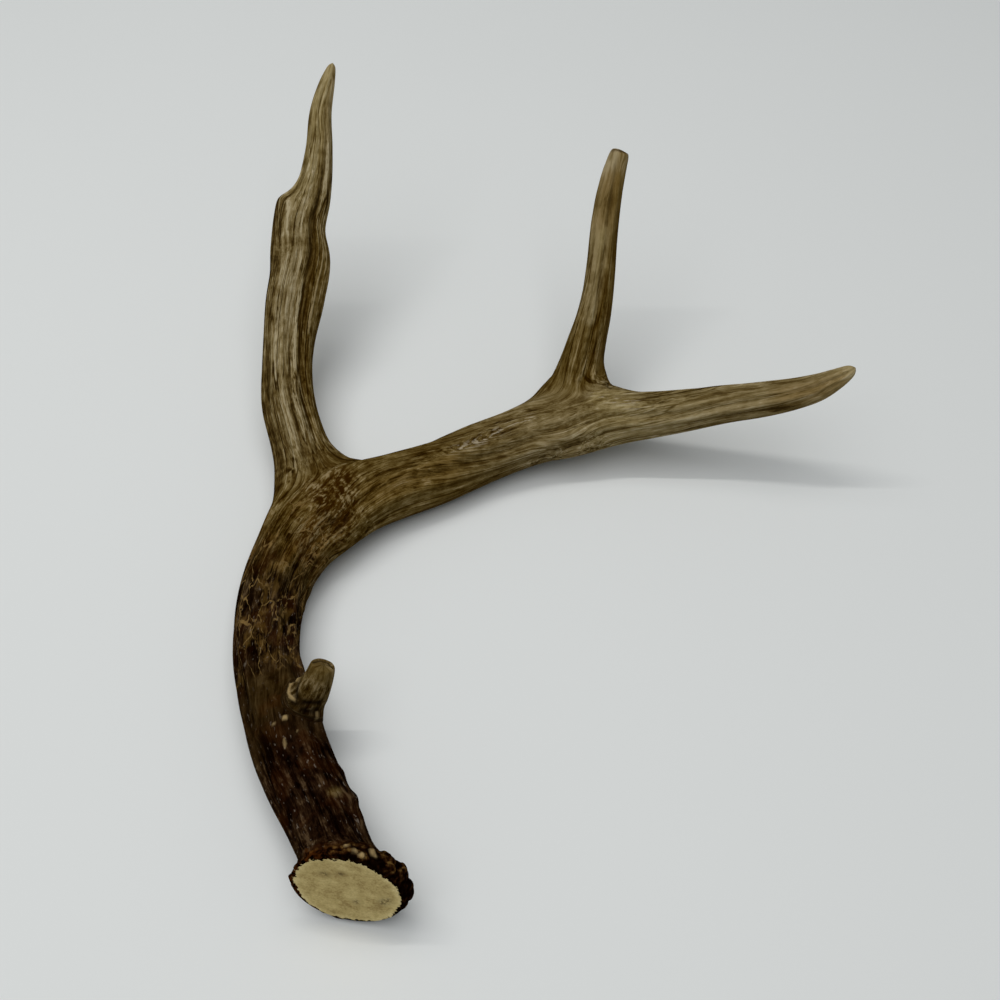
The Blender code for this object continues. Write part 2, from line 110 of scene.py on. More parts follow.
# The streaks of the third tine follow a smoother line than its stations.
THIRD_TINE_GRAIN = [
    (28.5, 44, 18.0, 26.0, 14.0),
    (35.5, 64, 25.0, 26.0, 16.0),
    (41.8, 86, 38.5, 17.8, 15.5),
    (46.8, 107, 54.0, 14.5, 13.0),
    (50.6, 129, 71.5, 13.5, 11.5),
    (56.4, 149.2, 95.0, 8.4, 7.4),
]
BROW_TINE_STATIONS = [
    (-85, -108, 16.0, 15.0, 13.0),
    (-78.5, -106.5, 23.0, 17.0, 16.0),
    (-74, -103.3, 30.0, 14.0, 14.5),
    (-70.8, -100.2, 36.2, 11.5, 12.0),
    (-69.2, -98, 40.8, 9.5, 10.5),
]

# The second tine is flattened, and its left-hand edge is broken off in a shoulder: how far
# that edge stands out from the round of the tine, by distance along it.
SHOULDER = [(129, 0.0), (150, 3.7), (160, 6.5), (165, 7.4), (167.5, 6.0), (171, 2.5), (178, 0.0)]
SHOULDER_RINGS = [157.0, 161.0, 164.0, 166.5, 169.0, 172.0, 176.0]
CRISP_MARGIN = 2.5                  # the evenly spaced rings keep this far from those
FLAT = [(0, 0.0)]

# The burr: the rough ring at the foot of the beam, sawn off flat.
BURR_AXIS = (0.165, 0.975, -0.15)   # from the sawn face into the beam
BURR_TURN = 22.0                    # the rings swing from the sawn face to the beam over this
BURR_FLARE = [(0, 7.1), (1.8, 8.2), (5, 7.6), (8, 5.6), (10.5, 2.4), (14, 0.5), (18, 0)]
BURR_RINGS = [0.0, 0.5, 1.8, 3.6, 5.6, 7.6, 9.6, 12.0, 15.0]
BURR_LEFT_CUT = 0.50
BURR_LEFT_REACH = 4.0
BURR_LEDGE = 4.2
BURR_LEDGE_ANGLE = 185.0
BURR_LEDGE_PLACE = 5.2
BURR_LEDGE_LENGTH = 3.8
FACE_RINGS = (0.97, 0.90, 0.80, 0.60, 0.34)     # rings inside the sawn face, as shares of its rim
FACE_EDGE = (0.9, 0.7, 0.5, -0.5)   # the dark edge: everywhere, and more left, right and below
# How each tine's end is closed: rings inside its rim, and how far the middle stands out.
TINE_ENDS = [((0.84, 0.45), 0.3), ((), 2.2), ((0.62,), 0.7)]

SEGMENTS = 32
RING_STEP = 4.4
FIRST_RING = 18.0
TIP_RINGS = (6.0, 2.5)
BROW_FORK = dict(middle=84.0, half=7.5, angle=135.0, share=6, reach=20.0, rings=4, leave=17.0,
                 blend=6.0, web=0.0)
SECOND_FORK = dict(middle=191.0, half=17.0, angle=0.0, share=16, reach=42.0, rings=8, leave=44.0,
                   blend=24.0, web=0.9)
THIRD_FORK = dict(middle=311.0, half=15.0, angle=11.25, share=10, reach=32.0, rings=6, leave=25.0,
                  blend=24.5, web=0.9)
FORK_ROUNDS = 24
FORK_EASE = 0.5
SLOPE_STEP = 0.5
BURR_KEPT = 24.0
BEAM_TIP_KEPT = 12.0
TINE_SETTLED = 14.0
TINE_TIP_KEPT = 5.0
FORK_MARGIN = 6.0
TIP_RISE = 2.2

FLUTE_COUNTS = (4, 7, 10)
FLUTE_HEIGHTS = (0.35, 0.45, 0.45)
FLUTE_WANDER = 0.9
FLUTE_WAVELENGTH = 95.0
FLUTE_RADIUS = 10.0
FLUTE_MOST = 1.2
RELIEF_START = 6.0
RELIEF_RUN_IN = 12.0
PEARL_COUNT = 60
PEARL_ZONE = (18.0, 165.0)
PEARL_TURNS = (50.0, 310.0)
PEARL_HEIGHT = (0.2, 0.7)
PEARL_RADIUS = (2.4, 3.8)
KNOBS_ON_BEAM = [                   # distance along, angle round, height, radius
    (24.0, 172.0, 1.5, 3.2),
    (35.0, 180.0, 1.4, 3.0),
    (46.0, 168.0, 1.5, 3.4),
    (30.0, 140.0, 1.2, 3.0),
    (57.0, 135.0, 1.0, 3.2),
    (71.0, 45.0, 1.8, 2.8),
    (82.0, 90.0, 1.7, 2.8),
]
SEED = 7

# ------------------------------------------------------------------ what the render adds
SUBDIVISIONS = 2
STUB_RELIEF = 0.25                  # the brow tine's stub is nearly smooth
TIP_SMOOTH = (-2.0, 9.0)            # and the relief fades towards the tips
SHARE_BANDS = (3.0, 26.0, 26.0)     # grain turns from the beam's to a tine's over this
GRAIN_LEAD = (0.0, 176.0, 294.0)    # a tine's grain carries on from this far along the beam
PARTINGS = [                        # where the beam's streaks part into a tine and run on
    dict(tine=1, angle=0.0, radius=13.5, tine_radius=8.5,
         part=(60.0, 150.0), join=(172.0, 228.0)),
    dict(tine=2, angle=11.25, radius=11.5, tine_radius=7.5,
         part=(226.0, 292.0), join=(300.0, 410.0)),
]
FIBRES = [                          # raised fibres: width, stretch along the grain, height
    (3.0, 0.07, 0.22),
    (1.7, 0.16, 0.10),
]
RIM_KNOBS = 96                      # beads crowded on the burr's rim
RIM_ZONE = (0.9, 10.0)
RIM_RADIUS = (1.3, 2.8)
RIM_HEIGHT = (0.5, 1.6)
RIM_PALE_SHARE = 0.03
RIM_REACH = 20.0                    # the rim's radius, to measure round it
RIM_WIDTH = (4.5, 7.5)              # the dark rim's width: everywhere, and more at the ledge
RIM_FADE = (3.0, -1.0)              # it fades out over this
RIM_RAGGED = (1.6, 1.8)             # the bites out of its edge: their size and depth
REDDISH_SIDE = (-0.2, 0.7)          # it is redder on the left, by the cosine of the angle round
BURR_END = 25.0                     # past this far along the beam there is no burr
FACE_FADE = 1.5                     # the relief sets in over this past the sawn face's edge
NOT_FACE = -99.0                    # the inset of everything away from the sawn face
MARK_EDGE = (0.25, 0.7)             # a small mark turns pale between these shares of its height
CALM_FADE = (0.3, 0.8)              # in calm places: how much fainter, and more broken up

# How the bone's colour changes along each limb: 0 is the darkest, 1 the brown of the forks and
# 2 the grey-tan of the outer beam and tines.
BEAM_LEVELS = [(0, 0.15), (14, 0.12), (30, 0.0), (52, 0.0), (64, 0.18), (92, 0.22), (104, 0.10),
               (135, 0.15), (160, 0.50), (185, 1.05), (215, 1.1), (250, 1.2), (275, 1.45),
               (305, 2.05), (335, 2.7), (390, 2.15), (432, 2.1), (447, 2.6)]
TINE_LEVELS = [[(0, 0.10), (14, 0.50), (31, 0.75)],
               [(0, 1.1), (45, 1.7), (90, 2.05), (150, 2.05), (185, 2.8), (215, 3.0), (236, 3.0)],
               [(0, 1.2), (34, 1.0), (64, 1.55), (99, 1.9), (118, 1.6), (130, 1.5)]]
# Painted shade: the second and third tines are darker towards their right-hand edges, the side away
# from the light, and partly stained darker there: from, to, by how much.
PAINTED_SHADE_SIDES = [(0.0, 1.0, 0.0), (0.20, 0.95, 0.80), (0.05, 0.75, 0.6)]
PAINTED_SHADE_FROM = (15.0, 60.0)          # but not at their roots
LEVEL_PATCH = 0.16                  # the level wanders by this much, in patches
PATCH_WIDTH = 15.0
PATCH_SQUEEZE = 0.5                 # and they are longer along the grain by this
# How bold the streaks are, and how short and broken: from long streaks, 0, to beads, 1.
BEAM_BOLDNESS = [(0, 1.0), (56, 1.0), (66, 0.5), (92, 0.5), (102, 1.0), (190, 1.0), (215, 0.85),
                 (262, 0.75), (300, 0.75), (345, 0.75), (400, 0.55), (425, 0.4), (447, 0.3)]
TINE_BOLDNESS = [[(0, 0.9), (24, 0.9), (29, 0.45)],
                 [(0, 0.9), (40, 1.05), (150, 1.1), (195, 0.7), (236, 0.35)],
                 [(0, 0.75), (40, 0.8), (70, 0.45), (90, 0.26), (130, 0.22)]]
BEAM_BEADS = [(0, 0.80), (60, 0.70), (75, 0.35), (95, 0.35), (120, 0.60), (160, 0.70), (200, 0.55),
              (230, 0.35), (262, 0.25), (300, 0.10), (330, 0.0)]
TINE_BEADS = [[(0, 0.8), (31, 0.9)], [(0, 0.25), (25, 0.10), (50, 0.0), (70, 0.0)],
              [(0, 0.1), (40, 0.0)]]
# The knobbly golden patch in the crook of the second tine: paths and half widths.
KNOBBLY = [
    ([(-80.6, 0.9, 27.4), (-76.4, -11.9, 28.1), (-81.0, -27.0, 26.5)], 7.5),
    ([(-72.2, 6.9, 27.1), (-68.2, -4.9, 27.7), (-71.9, -19.2, 23.3)], 7.5),
]
# How strong the net of pale veins is along the beam.
BEAM_VEINS = [(94, 0.0), (106, 1.0), (162, 1.0), (182, 0.4), (200, 0.0)]
# The streaks give way to soft mottling in front of the third tine: paths and half widths.
CALM = [
    ([(17.0, 39.0, 27.5), (30.0, 46.0, 30.0), (43.0, 49.0, 32.0)], 8.0),
    ([(30.0, 46.0, 30.0), (55.0, 44.0, 34.5)], 6.0),
    ([(-103.5, 121.0, 58.0), (-98.0, 124.0, 62.0)], 5.0),
]
# Scratches down to the pale bone: paths and half widths.
SCUFFS = [
    ([(-19.1, 25.5, 25.0), (-9.0, 30.5, 24.9), (1.4, 37.0, 25.6), (14.0, 41.5, 27.0)], 2.6),
    ([(45.4, 52.0, 31.7), (52.4, 48.1, 33.3), (63.0, 42.8, 35.5)], 3.6),
]
# Faint brown smudges on the sawn face, and the dark cap of the third tine.
SMUDGES = [
    ([(53.0, 148.8, 96.5), (55.3, 148.5, 96.9), (57.6, 148.2, 96.0), (60.3, 148.0, 93.9)], 1.5),
    ([(-57.1, -180.5, 32.9)], 1.6),
    ([(-63.1, -179.7, 31.1)], 1.9),
    ([(-52.9, -183.9, 15.4)], 1.7),
    ([(-42.8, -185.2, 17.8), (-41.0, -184.8, 19.8)], 2.0),
]
# Near-black stains in the hollows of the lower beam.
STAINS = [
    ([(-67.1, -129.2, 26.3), (-65.2, -133.7, 26.8), (-63.4, -139.6, 28.5)], 4.2),
    ([(-66.5, -153.5, 32.5), (-62.5, -155.4, 33.3)], 2.8),
    ([(-92.7, -118.6, 27.6), (-88.2, -132.3, 27.3), (-82.0, -149.1, 27.6)], 3.0),
    ([(-77.5, -14.1, 28.2), (-73.5, -16.7, 27.2), (-70.7, -18.1, 23.3)], 2.4),
    ([(-67.9, -13.8, 24.1), (-65.0, -10.5, 24.2)], 2.0),
    ([(-86.9, -39.9, 24.6), (-84.6, -40.5, 21.9)], 2.2),
    ([(-81.4, -32.9, 22.2), (-79.8, -33.7, 20.3)], 2.0),
    ([(-96.5, -44.0, 26.8), (-93.4, -48.4, 27.3)], 1.8),
    ([(-90.8, -61.7, 24.5), (-89.6, -66.1, 23.7)], 1.8),
    ([(-85.3, -60.4, 15.0), (-84.0, -73.5, 20.0)], 2.4),
    ([(-104.1, -86.5, 25.5), (-101.8, -99.1, 23.1), (-97.8, -112.7, 23.3)], 2.0),
]
# Patches that are paler or darker than their surroundings: path, half width, change of level. The
# second is a painted highlight down the middle of the third tine.
PATCHES = [
    ([(45.4, 52.0, 31.7), (52.4, 48.1, 33.3), (61.0, 42.8, 35.5)], 5.0, 0.9),
    # painted highlight: a light band down the third tine's middle
    ([(42.6, 85.2, 47.9), (45.5, 103.0, 60.0), (48.5, 120.8, 71.7)], 2.8, 0.9),
    ([(30.0, 48.0, 30.0), (36.0, 60.0, 31.5)], 5.0, -0.3),
    ([(-63.0, -148.5, 31.4), (-61.0, -146.0, 29.8)], 2.2, 0.7),
    ([(-76.0, -15.0, 27.0), (-66.0, -12.0, 24.0), (-50.0, -2.7, 22.3)], 5.0, -0.25),
    ([(-91.7, -30.7, 27.3), (-89.5, -36.1, 27.5), (-92.8, -41.3, 27.4)], 3.5, 0.25),
]
# Where the bone is more golden: paths and half widths.
GOLDEN = [
    ([(126.0, 36.5, 48.5), (139.0, 33.8, 55.5), (148.9, 33.6, 60.9)], 4.5),
    ([(47.5, 124.0, 77.0), (51.5, 138.0, 87.0)], 6.0),
    ([(-56.0, 0.0, 27.0), (-40.0, 8.0, 26.0), (-22.0, 17.0, 24.0)], 5.0),
    ([(-91.7, -30.7, 27.3), (-89.5, -36.1, 27.5), (-92.8, -41.3, 27.4)], 3.5),
    ([(-99.7, -77.5, 26.3), (-96.8, -80.6, 26.6)], 3.0),
]
# Dark notches below the stub, beside its curled edge, round its end and by the third tine's root:
# painted shadow over a shallow groove.
SHADOWED_NOTCHES = [
    ([(-81.8, -108.6, 31.2), (-79.6, -110.4, 31.9), (-76.6, -110.2, 32.0),
      (-70.5, -109.3, 30.5)], 1.5),
    ([(-77.5, -112.2, 30.6), (-73.5, -112.6, 29.2), (-71.0, -111.8, 27.5)], 1.9),
    ([(-79.5, -101.5, 34.0), (-80.0, -105.0, 33.2), (-79.8, -108.6, 32.3)], 1.1),
    ([(-73.1, -97.4, 41.9), (-70.6, -95.6, 40.4), (-67.6, -95.9, 39.4), (-65.3, -99.0, 40.0)], 0.5),
    ([(48.7, 62.6, 30.4), (50.1, 60.8, 29.6), (51.6, 56.4, 31.6)], 0.5),
    ([(47.7, 52.3, 32.0), (49.0, 50.7, 32.4)], 0.4),
    ([(64.0, 53.9, 33.0), (68.3, 52.6, 34.0)], 0.4),
]
NOTCH_DEPTH = 0.8
# Small pale beads and flakes that the photograph shows: points, radius, height, how pale.
PALE_MARKS = [
    ([(-66.0, -99.4, 39.9), (-66.2, -101.5, 38.8)], 0.8, 0.25, 0.45),
    ([(-65.6, -103.0, 36.5), (-66.5, -104.3, 32.1), (-68.4, -107.7, 30.2)], 0.8, 0.25, 0.25),
    ([(-75.9, -100.2, 39.0), (-77.4, -103.6, 37.1)], 0.8, 0.25, 0.30),
    ([(-79.6, -99.8, 32.9), (-81.7, -99.2, 30.2), (-83.1, -100.5, 29.7)], 1.1, 1.3, 0.9),
    ([(-83.1, -100.5, 29.7), (-83.2, -103.2, 30.2), (-82.7, -106.4, 31.1)], 0.75, 1.0, 0.9),
    ([(-82.7, -106.4, 31.1), (-80.9, -108.6, 32.1)], 1.0, 0.9, 0.9),
    ([(-83.8, -115.2, 29.1)], 1.35, 1.3, 0.85),
    ([(-88.2, -117.7, 29.1)], 0.9, 0.7, 0.5),
    ([(-91.9, -122.6, 27.7), (-91.7, -124.6, 27.3)], 0.7, 0.5, 0.5),
    ([(-83.0, -125.1, 30.0), (-82.6, -127.8, 30.1)], 0.6, 0.4, 0.5),
    ([(-78.3, -121.4, 29.9)], 0.6, 0.4, 0.5),
    ([(-77.9, -125.6, 30.6)], 0.6, 0.4, 0.6),
    ([(-72.0, -111.4, 26.5), (-72.2, -113.1, 25.5)], 0.9, 0.5, 0.5),
    ([(-74.8, -111.3, 29.4)], 0.7, 0.4, 0.4),
    ([(-61.7, -148.7, 31.7)], 1.5, 0.6, 0.35),
    ([(-61.1, -170.6, 37.1)], 1.0, 0.5, 0.6),
    ([(-51.4, -176.4, 43.6)], 1.3, 0.5, 1.0),
    ([(-49.0, -177.8, 42.9)], 1.2, 0.5, 1.0),
    ([(-45.9, -175.3, 39.7), (-44.8, -176.8, 40.0)], 1.1, 0.6, 0.7),
    ([(-54.7, -174.8, 43.5)], 1.3, 0.5, 0.9),
]
# The tables whose paths the material reads, by the attribute's name.
PAINTED = {"scuffed": SCUFFS, "stained": STAINS, "knobbly": KNOBBLY, "golden": GOLDEN,
           "smudged": SMUDGES}


# ------------------------------------------------------------------ limbs
SAMPLE = 1.5


def smooth_rows(stations):
    """A cubic curve through the stations, read every SAMPLE millimetres."""
    rows = np.array(stations, float)
    chord = np.concatenate(([0.0], np.cumsum(np.linalg.norm(np.diff(rows[:, :3], axis=0), axis=1))))
    slope = np.gradient(rows, chord, axis=0)
    dense = np.append(np.arange(0.0, chord[-1], SAMPLE), chord[-1])
    span = np.clip(np.searchsorted(chord, dense, side="right") - 1, 0, len(chord) - 2)
    length = (chord[span + 1] - chord[span])[:, None]
    u = (dense[:, None] - chord[span][:, None]) / length
    start = (2 * u**3 - 3 * u**2 + 1) * rows[span] + (u**3 - 2 * u**2 + u) * slope[span] * length
    end = (3 * u**2 - 2 * u**3) * rows[span + 1] + (u**3 - u**2) * slope[span + 1] * length
    return start + end


def unit(vectors):
    return vectors / np.linalg.norm(vectors, axis=-1, keepdims=True)


def smoothstep(low, high, values):
    share = np.clip((values - low) / (high - low), 0, 1)
    return share * share * (3 - 2 * share)


class Limb:
    """A tapering tube of oval section about a smooth centreline."""

    def __init__(self, stations, upright=UP, first_axis=None, turn=1.0):
        rows = smooth_rows(stations)
        self.centre = rows[:, :3]
        self.half_width = rows[:, 3] / 2
        self.half_thickness = rows[:, 4] / 2
        steps = np.linalg.norm(np.diff(self.centre, axis=0), axis=1)
        self.arc = np.concatenate(([0.0], np.cumsum(steps)))
        self.length = self.arc[-1]
        along = unit(np.gradient(self.centre, self.arc, axis=0))
        if first_axis is not None:
            swing = np.clip(self.arc / turn, 0, 1)[:, None]
            along = unit((1 - swing) * np.array(first_axis) + swing * along)
        self.along = along
        self.side = unit(np.cross(np.array(upright, float), along))
        self.up = np.cross(along, self.side)

    def read(self, values, distance):
        """Values of the sampled centreline at any distances along it."""
        if values.ndim == 1:
            return np.interp(distance, self.arc, values)
        columns = [np.interp(distance, self.arc, column) for column in values.T]
        return np.stack(columns, axis=-1)

    def surface(self, distance, angle, extra=0.0):
        """Points on the tube at distances along it and angles (radians) round it."""
        wide = (self.read(self.half_width, distance) + extra) * np.cos(angle)
        thick = (self.read(self.half_thickness, distance) + extra) * np.sin(angle)
        centre = self.read(self.centre, distance)
        side = unit(self.read(self.side, distance))
        up = unit(self.read(self.up, distance))
        return centre + wide[..., None] * side + thick[..., None] * up

    def locate(self, points):
        """Distance along the limb, angle round it and clearance from its surface."""
        square = (points**2).sum(axis=1)[:, None] + (self.centre**2).sum(axis=1)[None, :]
        nearest = np.argmin(square - 2 * points @ self.centre.T, axis=1)
        away = points - self.centre[nearest]
        reach = np.linalg.norm(away, axis=1)
        across = np.einsum("ij,ij->i", away, self.side[nearest])
        upward = np.einsum("ij,ij->i", away, self.up[nearest])
        angle = np.arctan2(upward, across)
        wide = self.half_width[nearest]
        thick = self.half_thickness[nearest]
        radius = wide * thick / np.hypot(thick * np.cos(angle), wide * np.sin(angle))
        distance = self.arc[nearest] + np.einsum("ij,ij->i", away, self.along[nearest])
        return distance, angle, reach - radius, np.clip(upward / thick, -1, 1)


def union_clearance(limbs, forks, points):
    """Distance to the smooth union of the beam and its tines, with a fillet in each fork."""
    _, _, result, rise = limbs[0].locate(points)
    for limb, fork in zip(limbs[1:], forks):
        _, _, other, _ = limb.locate(points)
        blend = fork["blend"]
        overlap = np.maximum(blend - np.abs(result - other), 0.0) / blend
        fillet = overlap**2 * blend / 4 * (1 - fork["web"] * rise**2)
        result = np.minimum(result, other) - fillet
    return result


# ------------------------------------------------------------------ the cage
class Skin:
    """The antler's cage: points with their place on a limb, and faces."""

    def __init__(self):
        self.points = []
        self.limb = []
        self.distance = []
        self.inset = []
        self.quads = []
        self.caps = []

    def add(self, points, limb, distance, inset=None):
        first = len(self.points)
        self.points.extend(points)
        self.limb.extend([limb] * len(points))
        self.distance.extend(distance)
        self.inset.extend(-np.asarray(distance) if inset is None else inset)
        return np.arange(first, first + len(points))

    def bridge(self, ring, following):
        for here in range(len(ring)):
            after = (here + 1) % len(ring)
            self.quads.append((ring[here], ring[after], following[after], following[here]))


def beam_angles():
    return np.arange(SEGMENTS) * 2 * math.pi / SEGMENTS


def turn_between(angle, other):
    """Signed turn from one angle to another, in radians."""
    return (angle - other + math.pi) % (2 * math.pi) - math.pi


def burr_extra(distance, angle):
    """How far the burr stands out from the neck of the beam."""
    flare = np.interp(distance, *zip(*BURR_FLARE))
    set_in = np.clip(distance / BURR_LEFT_REACH, 0, 1)
    flare = flare * (1 - BURR_LEFT_CUT * set_in * np.maximum(np.cos(angle), 0))
    ledge = np.maximum(np.cos(angle - math.radians(BURR_LEDGE_ANGLE)), 0)**2
    ledge = ledge * BURR_LEDGE * np.exp(-((distance - BURR_LEDGE_PLACE) / BURR_LEDGE_LENGTH)**2)
    return flare + ledge


def fork_columns(fork):
    """The beam's columns that turn out into the fork's tine, from low to high angle."""
    middle = round(fork["angle"] / 360 * SEGMENTS)
    half = fork["share"] // 2
    return [(middle + step) % SEGMENTS for step in range(-half, half + 1)]


def fork_shift(forks, nominal, side):
    """Distances along the beam that a ring's columns give way to the roots of the tines."""
    shift = np.zeros(SEGMENTS)
    for fork in forks:
        closeness = 1 - abs(nominal - fork["middle"]) / fork["reach"]
        if closeness <= 0:
            continue
        columns = fork_columns(fork)
        spread = np.linspace(-1, 1, len(columns))
        sign = np.sign(nominal - fork["middle"]) or side
        shift[columns] += sign * fork["half"] * closeness * np.cos(spread * math.pi / 2)
    return shift


def ring_places(forks, length):
    """Nominal distances of the beam's rings, one on the middle of each fork."""
    tips = [length - step for step in TIP_RINGS]
    stops = [FIRST_RING] + [fork["middle"] for fork in forks] + [tips[0]]
    places = list(BURR_RINGS)
    for start, stop in zip(stops, stops[1:]):
        count = max(1, round((stop - start) / RING_STEP))
        places.extend(np.linspace(start, stop, count, endpoint=False))
    return places + tips


def close_ring(skin, ring, shares, outward, rise=0.0):
    """Close a ring with smaller rings and a middle point. outward is which way the ring runs."""
    rim = np.array([skin.points[index] for index in ring])
    middle = rim.mean(axis=0)
    limb = skin.limb[ring[0]]
    away = np.array([skin.distance[index] for index in ring])
    reach = np.linalg.norm(rim - middle, axis=1)
    previous = ring
    for share in shares:
        inner = skin.add(middle + share * (rim - middle), limb, away, (1 - share) * reach)
        if outward:
            skin.bridge(previous, inner)
        else:
            skin.bridge(inner, previous)
        previous = inner
    hub = skin.add([middle + rise], limb, [away.mean()], [reach.mean()])[0]
    for here in range(len(previous)):
        after = (here + 1) % len(previous)
        corners = (previous[here], previous[after], hub)
        skin.caps.append(corners if outward else corners[::-1])


def grow_beam(skin, beam, forks):
    """Lay the beam's rings; a fork's columns part into a hole, whose loop starts its tine."""
    angles = beam_angles()
    loops = {}
    previous = None
    for nominal in ring_places(forks, beam.length):
        distance = nominal + fork_shift(forks, nominal, -1)
        ring = skin.add(beam.surface(distance, angles, burr_extra(distance, angles)), 0, distance)
        if previous is not None:
            skin.bridge(previous, ring)
        else:
            first = ring
        previous = ring
        for number, fork in enumerate(forks):
            if nominal != fork["middle"]:
                continue
            columns = fork_columns(fork)
            inner = columns[1:-1]
            distance = nominal + fork_shift(forks, nominal, 1)
            upper = skin.add(beam.surface(distance[inner], angles[inner]), 0, distance[inner])
            loops[number] = np.concatenate((ring[columns], upper[::-1]))
            previous = ring.copy()
            previous[inner] = upper
    close_ring(skin, first, FACE_RINGS, False)
    close_ring(skin, previous, (), True, TIP_RISE * beam.along[-1])
    return loops


def tine_places(tine, fork, crisp):
    """Distances of a tine's rings past its cut, with some close together where it is crisp."""
    count = max(2, round((tine.length - fork["leave"]) / RING_STEP))
    places = np.linspace(fork["leave"], tine.length, count + 1)[1:]
    if crisp:
        clear = (places < crisp[0] - CRISP_MARGIN) | (places > crisp[-1] + CRISP_MARGIN)
        places = np.sort(np.concatenate((places[clear], crisp)))
    return places


def grow_tine(skin, tine, number, fork, loop, shares, rise):
    """Carry the hole's loop out to the tine's own section, and on to its tip."""
    shoulder, crisp = (SHOULDER, SHOULDER_RINGS) if fork is SECOND_FORK else (FLAT, [])
    count = len(loop)
    angles = -math.pi / 2 + np.arange(count) * 2 * math.pi / count
    root = np.array([skin.points[index] for index in loop])
    target = tine.surface(np.full(count, fork["leave"]), angles)
    previous = loop
    for step in range(1, fork["rings"] + 1):
        part = step / fork["rings"]
        place = np.full(count, fork["leave"] * part)
        ring = skin.add((1 - part) * root + part * target, number, place)
        skin.bridge(previous, ring)
        previous = ring
    for place in tine_places(tine, fork, crisp):
        distance = np.full(count, place)
        reach = np.interp(place, *zip(*shoulder)) * np.maximum(np.cos(angles), 0)**2
        ring = skin.add(tine.surface(distance, angles, reach), number, distance)
        skin.bridge(previous, ring)
        previous = ring
    close_ring(skin, previous, shares, True, rise * tine.along[-1])


def settle_forks(points, quads, limbs, forks, relaxed, laid):
    """Even out the forks' vertices while they are laid on the limbs' smooth union."""
    edges = np.concatenate([quads[:, [a, (a + 1) % 4]] for a in range(4)])
    valence = np.bincount(edges[:, 0], minlength=len(points))
    for _ in range(FORK_ROUNDS):
        total = np.zeros_like(points)
        np.add.at(total, edges[:, 0], points[edges[:, 1]])
        pull = (total / np.maximum(valence, 1)[:, None] - points)[laid]
        gap = union_clearance(limbs, forks, points[laid])
        uphill = np.zeros_like(pull)
        for axis in range(3):
            probe = points[laid] + SLOPE_STEP * np.eye(3)[axis]
            uphill[:, axis] = union_clearance(limbs, forks, probe) - gap
        uphill = unit(uphill)
        pull -= np.einsum("ij,ij->i", pull, uphill)[:, None] * uphill
        points[laid] += FORK_EASE * relaxed[laid][:, None] * pull - gap[:, None] * uphill
    return points


def settled_cage(skin, limbs, forks):
    points = np.array(skin.points)
    quads = np.array(skin.quads)
    number = np.array(skin.limb)
    distance = np.array(skin.distance)
    relaxed = np.zeros(len(points))
    laid = number == 0
    laid &= (distance > BURR_KEPT) & (distance < limbs[0].length - BEAM_TIP_KEPT)
    for index, fork in enumerate(forks):
        reach = fork["reach"] + FORK_MARGIN
        near = (number == 0) & (np.abs(distance - fork["middle"]) < reach)
        root = (number == index + 1) & (distance < fork["leave"] - 1)
        relaxed[near | root] = 1.0
        last = min(fork["leave"] + TINE_SETTLED, limbs[index + 1].length - TINE_TIP_KEPT)
        laid |= (number == index + 1) & (distance < last)
    return settle_forks(points, quads, limbs, forks, relaxed, np.nonzero(laid)[0])


def put_in_scene(name, data):
    made = bpy.data.objects.new(name, data)
    bpy.context.scene.collection.objects.link(made)
    return made


def subdivide(points, skin):
    """The cage's subdivided mesh, with each point's distance and inset as attributes."""
    mesh = bpy.data.meshes.new("cage")
    faces = [tuple(map(int, face)) for face in skin.quads + skin.caps]
    mesh.from_pydata([tuple(point) for point in points], [], faces)
    for name, values in (("distance", skin.distance), ("inset", skin.inset)):
        mesh.attributes.new(name, "FLOAT", "POINT").data.foreach_set("value", values)
    cage = put_in_scene("cage", mesh)
    modifier = cage.modifiers.new("smooth", "SUBSURF")
    modifier.levels = SUBDIVISIONS
    modifier.render_levels = SUBDIVISIONS
    evaluated = cage.evaluated_get(bpy.context.evaluated_depsgraph_get())
    fine = bpy.data.meshes.new_from_object(evaluated)
    bpy.data.objects.remove(cage)
    return fine


def read_vertices(mesh, name):
    values = np.zeros(len(mesh.vertices) * 3)
    mesh.vertices.foreach_get(name, values)
    return values.reshape(-1, 3)


def read_attribute(mesh, name):
    values = np.zeros(len(mesh.vertices))
    mesh.attributes[name].data.foreach_get("value", values)
    return values


# ------------------------------------------------------------------ relief
def lattice(cells, seed):
    """A repeatable value from 0 to 1 for each whole-numbered cell."""
    mixed = cells[..., 0] * 73856093 ^ cells[..., 1] * 19349663 ^ cells[..., 2] * 83492791
    mixed = (mixed ^ (seed * 2654435761)) & 0xFFFFFFFF
    mixed = (mixed ^ (mixed >> 15)) * 2246822519 & 0xFFFFFFFF
    mixed = (mixed ^ (mixed >> 13)) * 3266489917 & 0xFFFFFFFF
    return ((mixed ^ (mixed >> 16)) & 0xFFFF) / 0xFFFF


def value_noise(points, seed):
    """Smooth noise from -1 to 1 with cells one unit wide."""
    cell = np.floor(points).astype(np.int64)
    part = points - cell
    part = part * part * (3 - 2 * part)
    total = np.zeros(len(points))
    for corner in range(8):
        step = np.array([corner & 1, corner >> 1 & 1, corner >> 2 & 1])
        weight = np.where(step, part, 1 - part).prod(axis=1)
        total += weight * lattice(cell + step, seed)
    return 2 * total - 1


def flutes(distance, angle, radius, random):
    """Long wandering ridges and gutters, lower where the limb is thin."""
    height = np.zeros_like(distance)
    phases = random.uniform(0, 2 * math.pi, len(FLUTE_COUNTS))
    for count, amount, phase in zip(FLUTE_COUNTS, FLUTE_HEIGHTS, phases):
        wander = FLUTE_WANDER * np.sin(distance * 2 * math.pi / FLUTE_WAVELENGTH + phase)
        height += amount * np.cos(count * angle + phase + wander)
    return height * np.clip(radius / FLUTE_RADIUS, 0, FLUTE_MOST)


